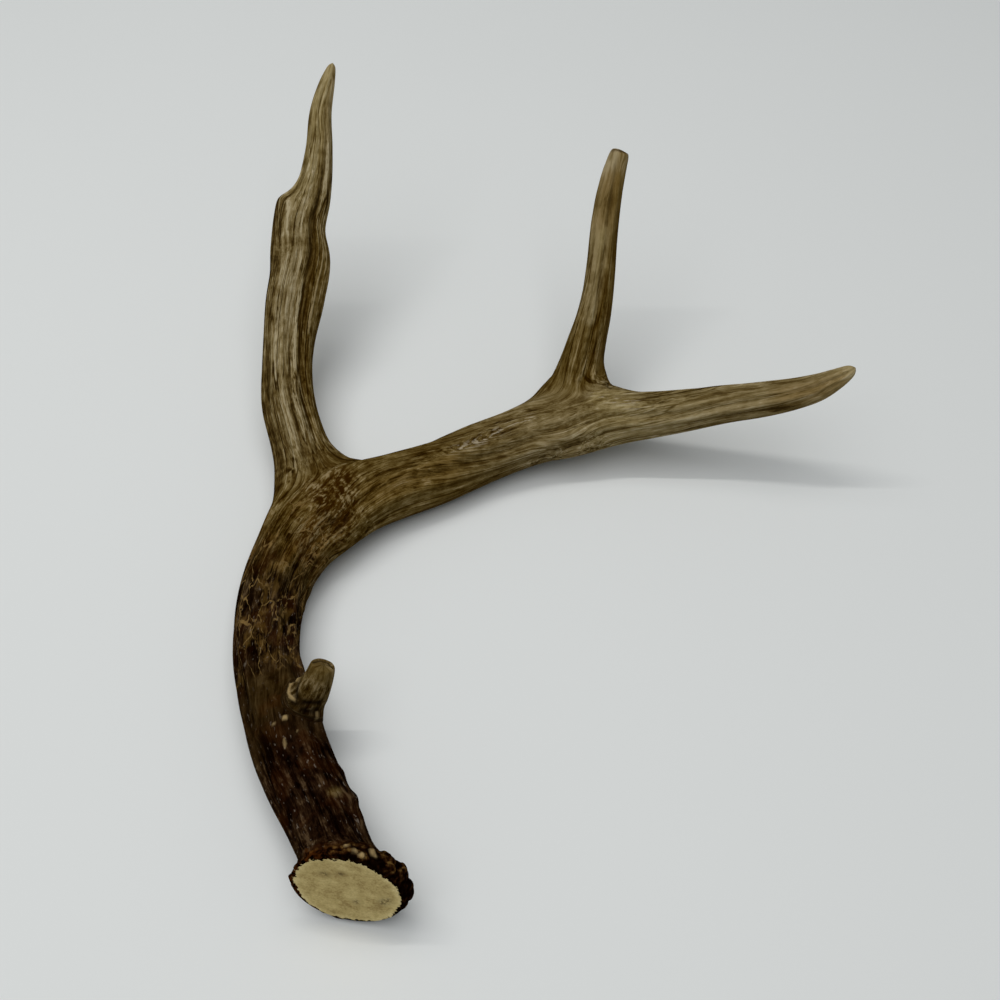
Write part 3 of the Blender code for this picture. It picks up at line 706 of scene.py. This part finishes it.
def lumps(distance, angle, radius, places):
    """Rounded bumps, each given by distance along, angle round, height and radius."""
    height = np.zeros_like(distance)
    for along, round_it, tall, wide in places:
        turn = turn_between(angle, math.radians(round_it))
        away = np.hypot(distance - along, turn * radius)
        height += tall * np.exp(-(away / wide)**2)
    return height


def pearl_places(random):
    places = list(KNOBS_ON_BEAM)
    for _ in range(PEARL_COUNT):
        place = random.uniform(*PEARL_ZONE)
        turn = random.uniform(*PEARL_TURNS)
        places.append((place, turn, random.uniform(*PEARL_HEIGHT), random.uniform(*PEARL_RADIUS)))
    return places


def rim_beads(distance, angle, random):
    """Crowded beads on the burr's rim: their height, how full each is, and which are pale."""
    height = np.zeros_like(distance)
    full = np.zeros_like(distance)
    pale = np.zeros_like(distance)
    for _ in range(RIM_KNOBS):
        place = random.uniform(*RIM_ZONE)
        turn = turn_between(angle, random.uniform(-math.pi, math.pi))
        wide = random.uniform(*RIM_RADIUS)
        tall = random.uniform(*RIM_HEIGHT)
        is_pale = random.uniform() < RIM_PALE_SHARE
        away = np.hypot(distance - place, turn * RIM_REACH) / wide
        dome = np.sqrt(np.maximum(1 - away**2, 0))
        higher = dome * tall > height
        height = np.where(higher, dome * tall, height)
        full = np.where(higher, dome, full)
        pale = np.where(higher, dome**4 * is_pale, pale)
    return height, full, pale


def distance_to_path(points, path):
    path = np.array(path, float)
    if len(path) == 1:
        return np.linalg.norm(points - path[0], axis=1)
    nearest = np.full(len(points), np.inf)
    for start, end in zip(path, path[1:]):
        span = end - start
        share = np.clip((points - start) @ span / (span @ span), 0, 1)
        gap = np.linalg.norm(points - (start + share[:, None] * span), axis=1)
        nearest = np.minimum(nearest, gap)
    return nearest


class Spots:
    """Where each point of the fine skin lies on the beam and on its nearest tine."""

    def __init__(self, points, limbs):
        beam = limbs[0]
        count = len(points)
        self.beam_at, self.beam_turn, beam_gap, _ = beam.locate(points)
        self.beam_radius = beam.read(beam.half_thickness, self.beam_at)
        self.tine = np.zeros(count, int)
        self.tine_at = np.zeros(count)
        self.tine_turn = np.zeros(count)
        self.tine_radius = np.zeros(count)
        tine_gap = np.full(count, np.inf)
        for index, limb in enumerate(limbs[1:]):
            at, turn, gap, _ = limb.locate(points)
            closer = gap < tine_gap
            self.tine[closer] = index
            self.tine_at[closer] = at[closer]
            self.tine_turn[closer] = turn[closer]
            self.tine_radius[closer] = limb.read(limb.half_thickness, at[closer])
            tine_gap = np.minimum(gap, tine_gap)
        band = np.array(SHARE_BANDS)[self.tine]
        self.share = smoothstep(-0.5, 0.5, (beam_gap - tine_gap) / band)
        self.on_beam = self.share < 0.5
        ends = np.array([limb.length for limb in limbs[1:]])[self.tine]
        self.to_end = np.where(self.on_beam, beam.length - self.beam_at, ends - self.tine_at)

    def mix(self, on_beam, on_tine):
        share = self.share if on_beam.ndim == 1 else self.share[:, None]
        return on_beam * (1 - share) + on_tine * share

    def grain(self):
        """Coordinates that run along the limbs and fan out into the tines."""
        lead = np.array(GRAIN_LEAD)[self.tine]
        beam = grain_points(self.beam_at, self.beam_turn, self.beam_radius)
        tine = grain_points(self.tine_at + lead, self.tine_turn, self.tine_radius)
        for parting in PARTINGS:
            weight = smoothstep(*parting["part"], self.beam_at)
            weight = weight * (1 - smoothstep(*parting["join"], self.beam_at))
            beam = beam + weight[:, None] * (self.parted(parting) - beam)
            tine[self.tine == parting["tine"], 0] += parting["radius"] + parting["tine_radius"]
        return self.mix(beam, tine)

    def parted(self, parting):
        """The beam's streaks below a fork: the half on the tine's side goes round the tine."""
        turn = turn_between(self.beam_turn, math.radians(parting["angle"]))
        radius, tine_radius = parting["radius"], parting["tine_radius"]
        onward = grain_points(self.beam_at, 2 * turn - np.sign(turn) * math.pi, radius)
        outward = grain_points(self.beam_at, 2 * turn, tine_radius)
        outward[:, 0] += radius + tine_radius
        return np.where(np.abs(turn)[:, None] < math.pi / 2, outward, onward)

    def read(self, beam_table, tine_tables):
        """A quality that changes along the beam and along each tine."""
        beam = np.interp(self.beam_at, *zip(*beam_table))
        tine = np.zeros_like(beam)
        for index, table in enumerate(tine_tables):
            here = self.tine == index
            tine[here] = np.interp(self.tine_at[here], *zip(*table))
        return self.mix(beam, tine)


def grain_points(distance, angle, radius):
    return np.stack((radius * np.cos(angle), radius * np.sin(angle), distance), axis=1)


def limb_relief(spots, random):
    """The same flutes and pearls as the solids have."""
    beam_place = spots.beam_at, spots.beam_turn, spots.beam_radius
    beam = flutes(*beam_place, random)
    beam = beam + lumps(*beam_place, pearl_places(random))
    beam = beam * np.clip((spots.beam_at - RELIEF_START) / RELIEF_RUN_IN, 0, 1)
    tine = np.zeros_like(beam)
    for index in range(len(TINE_LEVELS)):
        here = spots.tine == index
        tine[here] = flutes(spots.tine_at[here], spots.tine_turn[here],
                            spots.tine_radius[here], random)
    tine[spots.tine == 0] *= STUB_RELIEF
    return spots.mix(beam, tine)


def pale_marks(points):
    """The photograph's small pale beads: their height and how pale each point is."""
    height = np.zeros(len(points))
    pale = np.zeros(len(points))
    for path, wide, tall, paleness in PALE_MARKS:
        bump = np.exp(-(distance_to_path(points, path) / wide)**2)
        height = np.maximum(height, tall * bump)
        pale = np.maximum(pale, paleness * smoothstep(*MARK_EDGE, bump))
    return height, pale


def near_paths(points, table):
    """How close each point is to the nearest of a table's paths, from 0 to 1."""
    strength = np.zeros(len(points))
    for path, wide in table:
        strength = np.maximum(strength, np.exp(-(distance_to_path(points, path) / wide)**2))
    return strength


def level_patches(points):
    """How much the paler and darker patches change each point's level."""
    change = np.zeros(len(points))
    for path, wide, amount in PATCHES:
        change += amount * near_paths(points, [(path, wide)])
    return change


def write_attributes(mesh, values):
    for name in ("distance", "inset"):
        mesh.attributes.remove(mesh.attributes[name])
    for name, array in values.items():
        kind, field = ("FLOAT_VECTOR", "vector") if array.ndim == 2 else ("FLOAT", "value")
        mesh.attributes.new(name, kind, "POINT").data.foreach_set(field, array.ravel())


def dress(mesh, limbs, grain_limbs):
    """Raise the relief on the fine mesh, and write the attributes that its material reads."""
    points, normals = read_vertices(mesh, "co"), read_vertices(mesh, "normal")
    ring, inset = read_attribute(mesh, "distance"), read_attribute(mesh, "inset")
    random = np.random.default_rng(SEED)
    spots = Spots(points, limbs)
    grain = Spots(points, grain_limbs).grain()
    hollow = limb_relief(spots, random) * smoothstep(*TIP_SMOOTH, spots.to_end)

    at_burr = spots.on_beam & (spots.beam_at < BURR_END)
    leftward, upward = np.cos(spots.beam_turn), np.sin(spots.beam_turn)
    edge = FACE_EDGE[0]
    for wider, towards in zip(FACE_EDGE[1:], (leftward, -leftward, -upward)):
        edge = edge + wider * np.maximum(towards, 0)**2
    inset = np.where(at_burr, inset - edge, NOT_FACE)
    off_face = smoothstep(0.0, FACE_FADE, -inset - edge)
    on_stub = (spots.tine == 0) & ~spots.on_beam
    height = hollow.copy()
    for seed, (wide, stretch, tall) in enumerate(FIBRES):
        fibre = value_noise(grain * np.array([1, 1, stretch]) / wide, seed)
        height += tall * off_face * np.where(on_stub, STUB_RELIEF, 1.0) * fibre

    near_rim = off_face * at_burr * (ring < RIM_ZONE[1] + RIM_RADIUS[1])
    bead, full, rim_pale = rim_beads(ring, spots.beam_turn, random)
    mark, mark_pale = pale_marks(points)
    # the notches: a shallow groove here, and painted shadow in the material
    shadowed_notch = near_paths(points, SHADOWED_NOTCHES)
    height += bead * near_rim + mark - NOTCH_DEPTH * shadowed_notch
    thick = np.maximum(np.cos(spots.beam_turn - math.radians(BURR_LEDGE_ANGLE)), 0)
    ragged = RIM_RAGGED[1] * value_noise(grain / RIM_RAGGED[0], SEED)
    rim = smoothstep(*RIM_FADE, ring - RIM_WIDTH[0] - RIM_WIDTH[1] * thick + ragged) * at_burr

    moved = (points + height[:, None] * normals + np.array(SHIFT)) * MM
    mesh.vertices.foreach_set("co", moved.ravel())
    mesh.update()
    patch = value_noise(grain * np.array([1.0, 1.0, PATCH_SQUEEZE]) / PATCH_WIDTH, SEED)
    calm = near_paths(points, CALM)
    # Level changes: the patches, one of them a painted highlight down the third tine, and painted
    # shade on the right-hand sides of the second and third tines.
    patches_and_painted_shade = -level_patches(points)
    for index, (start, full_at, darker) in enumerate(PAINTED_SHADE_SIDES):
        side = smoothstep(start, full_at, -np.cos(spots.tine_turn))
        side = side * smoothstep(*PAINTED_SHADE_FROM, spots.tine_at)
        patches_and_painted_shade += darker * side * (spots.tine == index) * spots.share
    write_attributes(mesh, {
        "grain": grain,
        "plain": grain_points(spots.beam_at, spots.beam_turn, spots.beam_radius),
        "level": spots.read(BEAM_LEVELS, TINE_LEVELS) + LEVEL_PATCH * patch - patches_and_painted_shade,
        "bold": spots.read(BEAM_BOLDNESS, TINE_BOLDNESS) * (1 - CALM_FADE[0] * calm),
        "beads": np.clip(spots.read(BEAM_BEADS, TINE_BEADS) + CALM_FADE[1] * calm, 0, 1),
        "netted": np.interp(spots.beam_at, *zip(*BEAM_VEINS)) * (1 - spots.share),
        **{name: near_paths(points, table) for name, table in PAINTED.items()},
        # painted shadow in the notches
        "notch_shadow": shadowed_notch,
        "to_end": spots.to_end,
        "hollow": hollow,
        "rim": rim,
        "bead": full * near_rim,
        "pale": np.maximum(rim_pale * near_rim, mark_pale),
        "inset": inset,
        "reddish": smoothstep(*REDDISH_SIDE, leftward),
    })


# ------------------------------------------------------------------ materials
LIGHT_ON_BONE = 0.80                # how bright a white thing in its place would be
# Colours in bytes, as in the photograph. A palette's five go from low tones to high ones. They
# were set from the 5, 25, 50, 75 and 95 percent tones of its regions, and then adjusted.
PALETTE_STOPS = (0.28, 0.41, 0.50, 0.59, 0.73)
DARK = [(5, 1, 0), (15, 6, 2), (27, 14, 6), (40, 26, 13), (70, 54, 36)]
BROWN = [(36, 20, 0), (61, 43, 10), (80, 63, 27), (101, 84, 47), (136, 119, 84)]
TAN = [(44, 31, 9), (78, 62, 31), (104, 89, 56), (126, 111, 78), (158, 145, 115)]
PALEST = [(70, 54, 24), (100, 84, 48), (124, 109, 72), (142, 127, 90), (168, 154, 122)]
CRUST = [(5, 1, 0), (12, 4, 1), (26, 11, 3), (48, 29, 11), (88, 66, 32)]
CREAM = [(108, 84, 46), (150, 130, 84), (172, 153, 102), (188, 170, 118), (208, 192, 142)]
GOLD = (112, 84, 36)
VEIN = (122, 97, 56)
RUST = (74, 36, 6)
PALE = (150, 128, 88)
# a painted highlight: the small pale glints on the darkest bone
PAINTED_GLINT = (110, 100, 88)
SCRATCH = (176, 164, 140)
SMUDGE = (58, 42, 22)
# near-black: painted shadow in the notches, and the colour of the stains
SHADOW_AND_STAIN = (8, 3, 1)

# Noise patterns in the grain's coordinates: squeeze along the grain, offset, scale, detail,
# roughness and, for two of them, distortion.
STREAKS = {
    "fibre": (0.040, (0, 0, 0), 0.40, 4.0, 0.60),
    "broad": (0.020, (3.1, 7.7, 1.3), 0.13, 2.0, 0.5),
    "hair": (0.13, (5.0, 2.0, 9.0), 1.5, 4.0, 0.65),
    "crest": (0.014, (11.0, 4.0, 2.0), 0.15, 2.0, 0.45),
    "fine_crest": (0.030, (2.0, 9.0, 4.0), 0.50, 2.0, 0.5),
    "groove": (0.014, (1.0, 14.0, 6.0), 0.18, 2.0, 0.45),
    "fine_groove": (0.022, (9.0, 3.0, 7.0), 0.42, 2.0, 0.5),
    "short": (0.16, (6.0, 3.0, 8.0), 0.55, 4.0, 0.62),
    "blotch": (1.0, (0, 0, 0), 0.22, 4.0, 0.6),
    "pebble": (0.6, (0, 0, 0), 0.55, 3.0, 0.6),
    "bead": (0.42, (4.0, 6.0, 1.0), 0.42, 3.0, 0.55, 0.4),
    "gap": (0.3, (8, 8, 8), 0.16, 3.0, 0.6),
    "amber": (0.5, (5, 5, 2), 0.20, 3.0, 0.6),
    "mottle": (0.3, (0, 0, 0), 0.20, 3.0, 0.6, 0.3),
    "rust": (1.0, (0, 0, 0), 0.07, 3.0, 0.5),
    # painted highlight: the speckle of small glints
    "painted_glint": (0.4, (7, 1, 5), 1.0, 2.0, 0.5),
    "scratch": (0.06, (3, 9, 2), 0.8, 3.0, 0.6),
}
# Patterns that are drawn as thin lines, and how wide.
RIDGES = {"crest": 0.026, "fine_crest": 0.035, "groove": 0.026, "fine_groove": 0.030,
          "bead": 0.045}
# Patterns that set in between two values, and how strong they are at either end.
STEPS = {"pebble": (0.43, 0.66), "gap": (0.38, 0.56, 0.08, 1.0), "amber": (0.50, 0.64),
         "rust": (0.48, 0.62), "painted_glint": (0.64, 0.72), "scratch": (0.52, 0.62)}
CREST_BREAKS = (0.30, 0.52, 0.25, 1.0)      # the crests fade where the fine hairs are dark
# How much each pattern adds to the tone: the long streaks, the lines on them, and broken streaks.
LONG = {"fibre": 0.70, "broad": 0.58, "hair": 0.50, "blotch": 0.30}
LINES = {"crest": 0.19, "fine_crest": 0.10, "groove": -0.22, "fine_groove": -0.12}
BROKEN = {"short": 1.2, "hair": 0.30, "blotch": 0.70}
BROKEN_BEADS = (-0.25, 0.10)        # less their mean, times this
CONTRAST = 1.12                     # of the streaks, where they are bold
MIDDLE_TONE = 0.5
# What lies over the bone, in this order: how much it covers, and its colour. The glints are painted
# highlights and the notches painted shadow.
COATS = {"rust": (0.14, RUST), "knobbly": (0.16, RUST), "golden": (1.0, GOLD),
         "vein": (0.80, VEIN), "painted_glint": (0.6, PAINTED_GLINT), "scratch": (0.62, SCRATCH),
         "stain": (0.55, SHADOW_AND_STAIN), "notch_shadow": (0.95, SHADOW_AND_STAIN)}

# The net of veins: the noise that bends it, how far, its stretch, its cells and its widths.
BEND_STRETCH = (1, 1, 0.6)
BEND_NOISE = (0.20, 3.0, 0.50)
BEND_REACH = (4.2, 4.2, 1.6)
NET_STRETCH = (1, 1, 0.27)
NET_SCALE = 0.23
VEIN_NOISE = (0.45, 2.0)
VEIN_WIDTHS = (0.35, 0.66, 0.014, 0.072)
VEIN_EDGE = (1.0, 0.3)

# The burr and its sawn face: noise in millimetres, as scale, detail and roughness.
SPECKS = (0.55, 3.0)
PORES = (1.1, 4.0, 0.7)
CLOUDS = (0.17, 3.0, 0.6)
BITES = [((0.42, 4.0, 0.62), 6.5), ((0.13, 1.0), 4.0)]      # out of the face's edge, and how deep
FACE_SOFTNESS = 0.18
BUMP_DISTANCE = 0.0012

# A mix node's sockets for the factor, the two values and the result.
MIX_SOCKETS = {"FLOAT": (0, 2, 3, 0), "RGBA": (0, 6, 7, 2)}


class Graph:
    """Short calls that build a material's nodes."""

    def __init__(self, name):
        self.material = bpy.data.materials.new(name)
        self.material.use_nodes = True
        self.tree = self.material.node_tree
        self.shader = self.tree.nodes["Principled BSDF"]

    def node(self, kind, **settings):
        made = self.tree.nodes.new(kind)
        for key, value in settings.items():
            setattr(made, key, value)
        return made

    def plug(self, socket, value):
        if isinstance(value, bpy.types.NodeSocket):
            self.tree.links.new(value, socket)
        else:
            socket.default_value = value

    def fill(self, made, *values):
        """Plug values into a node's first sockets, and give its first output."""
        for socket, value in zip(made.inputs, values):
            self.plug(socket, value)
        return made.outputs[0]

    def fill_named(self, made, values):
        for name, value in values.items():
            self.plug(made.inputs[name], value)
        return made

    def attribute(self, name, output="Fac"):
        return self.node("ShaderNodeAttribute", attribute_name=name).outputs[output]

    def math(self, operation, first, *others):
        """The operation on the first two values, on the result and the third, and so on."""
        for other in others:
            first = self.fill(self.node("ShaderNodeMath", operation=operation), first, other)
        return first

    def add(self, *values):
        return self.math("ADD", *values)

    def times(self, *values):
        return self.math("MULTIPLY", *values)

    def centred(self, pattern, amount):
        """A pattern from 0 to 1, less its middle, times the amount."""
        return self.times(self.add(pattern, -0.5), amount)

    def stretch(self, vector, factors, offset=(0, 0, 0)):
        made = self.node("ShaderNodeVectorMath", operation="MULTIPLY_ADD")
        return self.fill(made, vector, factors, offset)

    def noise(self, vector, scale, detail=2.0, rough=0.5, distortion=0.0, output="Fac"):
        made = self.fill_named(self.node("ShaderNodeTexNoise"), {
            "Vector": vector, "Scale": scale, "Detail": detail, "Roughness": rough,
            "Distortion": distortion})
        return made.outputs[output]

    def step(self, value, low, high, start=0.0, end=1.0):
        """Smooth step from start to end as value goes from low to high."""
        made = self.node("ShaderNodeMapRange", interpolation_type="SMOOTHSTEP")
        return self.fill(made, value, low, high, start, end)

    def blend(self, factor, first, second, kind="RGBA"):
        made = self.node("ShaderNodeMix", data_type=kind)
        *places, output = MIX_SOCKETS[kind]
        for place, value in zip(places, (factor, first, second)):
            self.plug(made.inputs[place], (*value, 1.0) if isinstance(value, tuple) else value)
        return made.outputs[output]

    def ramp(self, value, stops):
        made = self.node("ShaderNodeValToRGB")
        made.color_ramp.interpolation = "EASE"
        elements = made.color_ramp.elements
        while len(elements) < len(stops):
            elements.new(0.5)
        for element, (place, colour) in zip(elements, stops):
            element.position = place
            element.color = (*colour, 1.0)
        return self.fill(made, value)


def paint(colour):
    """A colour's reflectance, from the bytes that it has in the photograph."""
    share = np.array(colour) / 255
    linear = np.where(share > 0.04045, ((share + 0.055) / 1.055)**2.4, share / 12.92)
    return tuple(float(value) for value in linear / LIGHT_ON_BONE)


def palette(graph, tone, colours):
    return graph.ramp(tone, [(stop, paint(colour)) for stop, colour in zip(PALETTE_STOPS, colours)])


def ridge(graph, pattern, width):
    """Thin wandering lines, where a noise pattern crosses its middle."""
    away = graph.math("ABSOLUTE", graph.add(pattern, -0.5), 0.0)
    return graph.step(away, 0.0, width, 1.0, 0.0)


def veins(graph, grain):
    """A net of wandering lines round long cells, and a shade for each cell."""
    bends = graph.noise(graph.stretch(grain, BEND_STRETCH), *BEND_NOISE, output="Color")
    bent = graph.stretch(bends, BEND_REACH, graph.stretch(grain, NET_STRETCH))
    cells = graph.node("ShaderNodeTexVoronoi", feature="DISTANCE_TO_EDGE")
    shade = graph.node("ShaderNodeTexVoronoi")
    for texture in (cells, shade):
        graph.fill_named(texture, {"Vector": bent, "Scale": NET_SCALE})
    width = graph.step(graph.noise(grain, *VEIN_NOISE), *VEIN_WIDTHS)
    lines = graph.step(graph.math("DIVIDE", cells.outputs["Distance"], width), *VEIN_EDGE)
    return lines, graph.fill(graph.node("ShaderNodeRGBToBW"), shade.outputs["Color"])


def grain_patterns(graph):
    """The patterns that run along the limbs, by name."""
    grain = graph.attribute("grain", "Vector")
    made = {}
    for name, (squeeze, offset, *settings) in STREAKS.items():
        made[name] = graph.noise(graph.stretch(grain, (1, 1, squeeze), offset), *settings)
    for name, width in RIDGES.items():
        made[name] = ridge(graph, made[name], width)
    for name, limits in STEPS.items():
        made[name] = graph.step(made[name], *limits)
    made["crest"] = graph.times(made["crest"], graph.step(made["hair"], *CREST_BREAKS))
    return made


def cover_burr(graph, colour):
    """A dark red-brown rim with a few pale beads round a cream sawn face, its area and pores."""
    add, times, step, read = graph.add, graph.times, graph.step, graph.attribute
    coordinates = graph.node("ShaderNodeTexCoord").outputs["Object"]
    place = graph.stretch(coordinates, (1 / MM, 1 / MM, 1 / MM))
    speck = graph.noise(place, *SPECKS)
    crust = palette(graph, add(times(read("bead"), 0.22), add(speck, -0.13)), CRUST)
    red = times(step(speck, 0.42, 0.58), read("reddish"))
    crust = graph.blend(times(red, 0.55), crust, paint(RUST))
    colour = graph.blend(read("rim"), colour, crust)
    colour = graph.blend(read("pale"), colour, paint(PALE))
    inset = read("inset")
    bite = add(*[graph.centred(graph.noise(place, *noise), depth) for noise, depth in BITES])
    face = step(add(inset, bite), -FACE_SOFTNESS, FACE_SOFTNESS)
    pore = graph.noise(place, *PORES)
    cloud = graph.noise(place, *CLOUDS)
    cream = add(graph.centred(pore, 0.40), graph.centred(cloud, 0.50), MIDDLE_TONE,
                step(inset, 3.0, 0.0, 0.0, 0.12))
    colour = graph.blend(face, colour, palette(graph, cream, CREAM))
    broken_up = graph.math("MAXIMUM", step(pore, 0.40, 0.56), step(face, 1.0, 0.0))
    smudge = times(read("smudged"), broken_up)
    return graph.blend(times(smudge, 0.85), colour, paint(SMUDGE)), face, pore


def bone_material():
    graph = Graph("antler_bone")
    add, times, step, read = graph.add, graph.times, graph.step, graph.attribute
    level, bold, knobbly = read("level"), read("bold"), read("knobbly")
    pattern = grain_patterns(graph)
    lines, cell = veins(graph, read("plain", "Vector"))
    netted = step(read("netted"), 0.05, 0.6)
    vein = times(lines, netted, pattern["gap"])
    amber = times(netted, pattern["amber"])
    stain = times(read("stained"), step(pattern["short"], 0.40, 0.56, 1.0, 0.35))

    long = [graph.centred(pattern[name], amount) for name, amount in LONG.items()]
    long += [times(pattern[name], amount) for name, amount in LINES.items()]
    broken = [graph.centred(pattern[name], amount) for name, amount in BROKEN.items()]
    broken.append(times(add(pattern["bead"], BROKEN_BEADS[0]), BROKEN_BEADS[1]))
    tone = graph.blend(read("beads"), add(*long), add(*broken), "FLOAT")
    tone = add(
        times(tone, times(bold, CONTRAST)),
        times(amber, 0.06),
        times(graph.centred(pattern["mottle"], 0.50), step(bold, 0.75, 0.35)),
        times(read("hollow"), 0.04),
        times(netted, graph.centred(cell, 0.20)),
        times(knobbly, add(times(pattern["pebble"], 0.38), -0.15)),
        times(stain, -0.20),
        times(step(read("to_end"), 30.0, 2.0), 0.10),
        MIDDLE_TONE)

    colour = palette(graph, tone, DARK)
    for start, colours in enumerate((BROWN, TAN, PALEST)):
        share = step(level, float(start), start + 1.0)
        colour = graph.blend(share, colour, palette(graph, tone, colours))
    golden = times(read("golden"), step(tone, 0.36, 0.60, 0.0, 0.36))
    masks = {
        "rust": times(pattern["rust"], step(level, 1.1, 0.5)),
        "knobbly": knobbly,
        "golden": add(golden, times(amber, 0.25)),
        "vein": vein,
        # painted highlight: glints where the bone is darkest
        "painted_glint": times(pattern["painted_glint"], step(level, 0.4, 0.05)),
        "scratch": times(pattern["scratch"], read("scuffed")),
        "stain": stain,
        # painted shadow in the notches
        "notch_shadow": read("notch_shadow"),
    }
    for name, (cover, shade) in COATS.items():
        colour = graph.blend(times(masks[name], cover), colour, paint(shade))
    colour, face, pore = cover_burr(graph, colour)

    height = add(times(tone, 0.9), times(pattern["hair"], 0.10), times(vein, 0.35))
    height = times(height, step(face, 0.0, 1.0, 1.0, 0.0))
    height = add(height, times(pore, face, 0.12))
    bump = graph.fill_named(graph.node("ShaderNodeBump"), {
        "Strength": 1.0, "Distance": BUMP_DISTANCE, "Height": height})
    graph.fill_named(graph.shader, {
        "Base Color": colour,
        "Roughness": add(step(tone, 0.35, 0.70, 0.42, 0.58), times(face, 0.30)),
        "Specular IOR Level": 0.0,
        "Normal": bump.outputs[0],
    })
    return graph.material


# ------------------------------------------------------------------ the scene
# The scene is in metres.
FLOOR_HALF_WIDTH = 4.0
FLOOR_COLOURS = ((0.755, 0.772, 0.766), (0.775, 0.792, 0.786))
FLOOR_CLOUDS = (3.0, 2.0)
FLOOR_ROUGHNESS = 0.7
ROOM_LIGHT = ((0.93, 0.98, 1.0, 1.0), 0.19)
# Rectangular lights, level with the floor and shining straight down: name, place, size, power
# and colour.
LIGHTS = [
    ("ceiling", (-0.35, -0.35, 1.9), (2.2, 2.2), 26.5, (1.0, 1.0, 1.0)),
    ("tube", (-0.43, 0.25, 1.5), (1.05, 0.03), 4.6, (1.0, 0.99, 0.96)),
]
CAMERA_TARGET = (-0.021380, -0.008002, 0.021192)
CAMERA_DISTANCE = 0.62
CAMERA_ELEVATION = math.radians(52)
CAMERA_LENS = dict(lens=50.0, sensor_width=36.0, clip_start=0.01)


def build_antler():
    beam = Limb(BEAM_STATIONS, first_axis=unit(np.array(BURR_AXIS)), turn=BURR_TURN)
    brow = Limb(BROW_TINE_STATIONS, upright=(1.0, 0.0, 0.0))
    tines = [brow, Limb(SECOND_TINE_STATIONS), Limb(THIRD_TINE_STATIONS)]
    forks = [BROW_FORK, SECOND_FORK, THIRD_FORK]
    limbs = [beam] + tines
    skin = Skin()
    holes = grow_beam(skin, beam, forks)
    for number, (tine, fork) in enumerate(zip(tines, forks)):
        grow_tine(skin, tine, number + 1, fork, holes[number], *TINE_ENDS[number])
    mesh = subdivide(settled_cage(skin, limbs, forks), skin)
    dress(mesh, limbs, limbs[:-1] + [Limb(THIRD_TINE_GRAIN)])
    mesh.name = "antler"
    mesh.shade_smooth()
    mesh.materials.clear()
    mesh.materials.append(bone_material())
    antler = put_in_scene("antler", mesh)
    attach(antler, "root")
    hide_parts("main_beam", "brow_tine", "second_tine", "third_tine")


def build_floor():
    graph = Graph("pale_floor")
    cloud = graph.noise(graph.node("ShaderNodeTexCoord").outputs["Object"], *FLOOR_CLOUDS)
    graph.fill_named(graph.shader, {"Base Color": graph.blend(cloud, *FLOOR_COLOURS),
                                    "Roughness": FLOOR_ROUGHNESS})
    mesh = bpy.data.meshes.new("floor")
    wide = FLOOR_HALF_WIDTH
    mesh.from_pydata([(-wide, -wide, 0), (wide, -wide, 0), (wide, wide, 0), (-wide, wide, 0)], [],
                     [(0, 1, 2, 3)])
    mesh.materials.append(graph.material)
    floor = put_in_scene("floor", mesh)


def build_light():
    world = bpy.data.worlds.new("soft_room")
    world.use_nodes = True
    for socket, value in zip(world.node_tree.nodes["Background"].inputs, ROOM_LIGHT):
        socket.default_value = value
    bpy.context.scene.world = world
    bpy.context.scene.view_settings.view_transform = "Standard"
    for name, place, size, power, colour in LIGHTS:
        lamp = bpy.data.lights.new(name, "AREA")
        lamp.shape = "RECTANGLE"
        lamp.size, lamp.size_y = size
        lamp.energy = power
        lamp.color = colour
        put_in_scene(name, lamp).location = place


def build_camera():
    camera = bpy.data.cameras.new("camera")
    for name, value in CAMERA_LENS.items():
        setattr(camera, name, value)
    made = put_in_scene("camera", camera)
    back = Vector((0, -math.cos(CAMERA_ELEVATION), math.sin(CAMERA_ELEVATION)))
    made.location = Vector(CAMERA_TARGET) + back * CAMERA_DISTANCE
    made.rotation_euler = (-back).to_track_quat("-Z", "Y").to_euler()
    bpy.context.scene.camera = made


build_antler()
build_floor()
build_light()
build_camera()
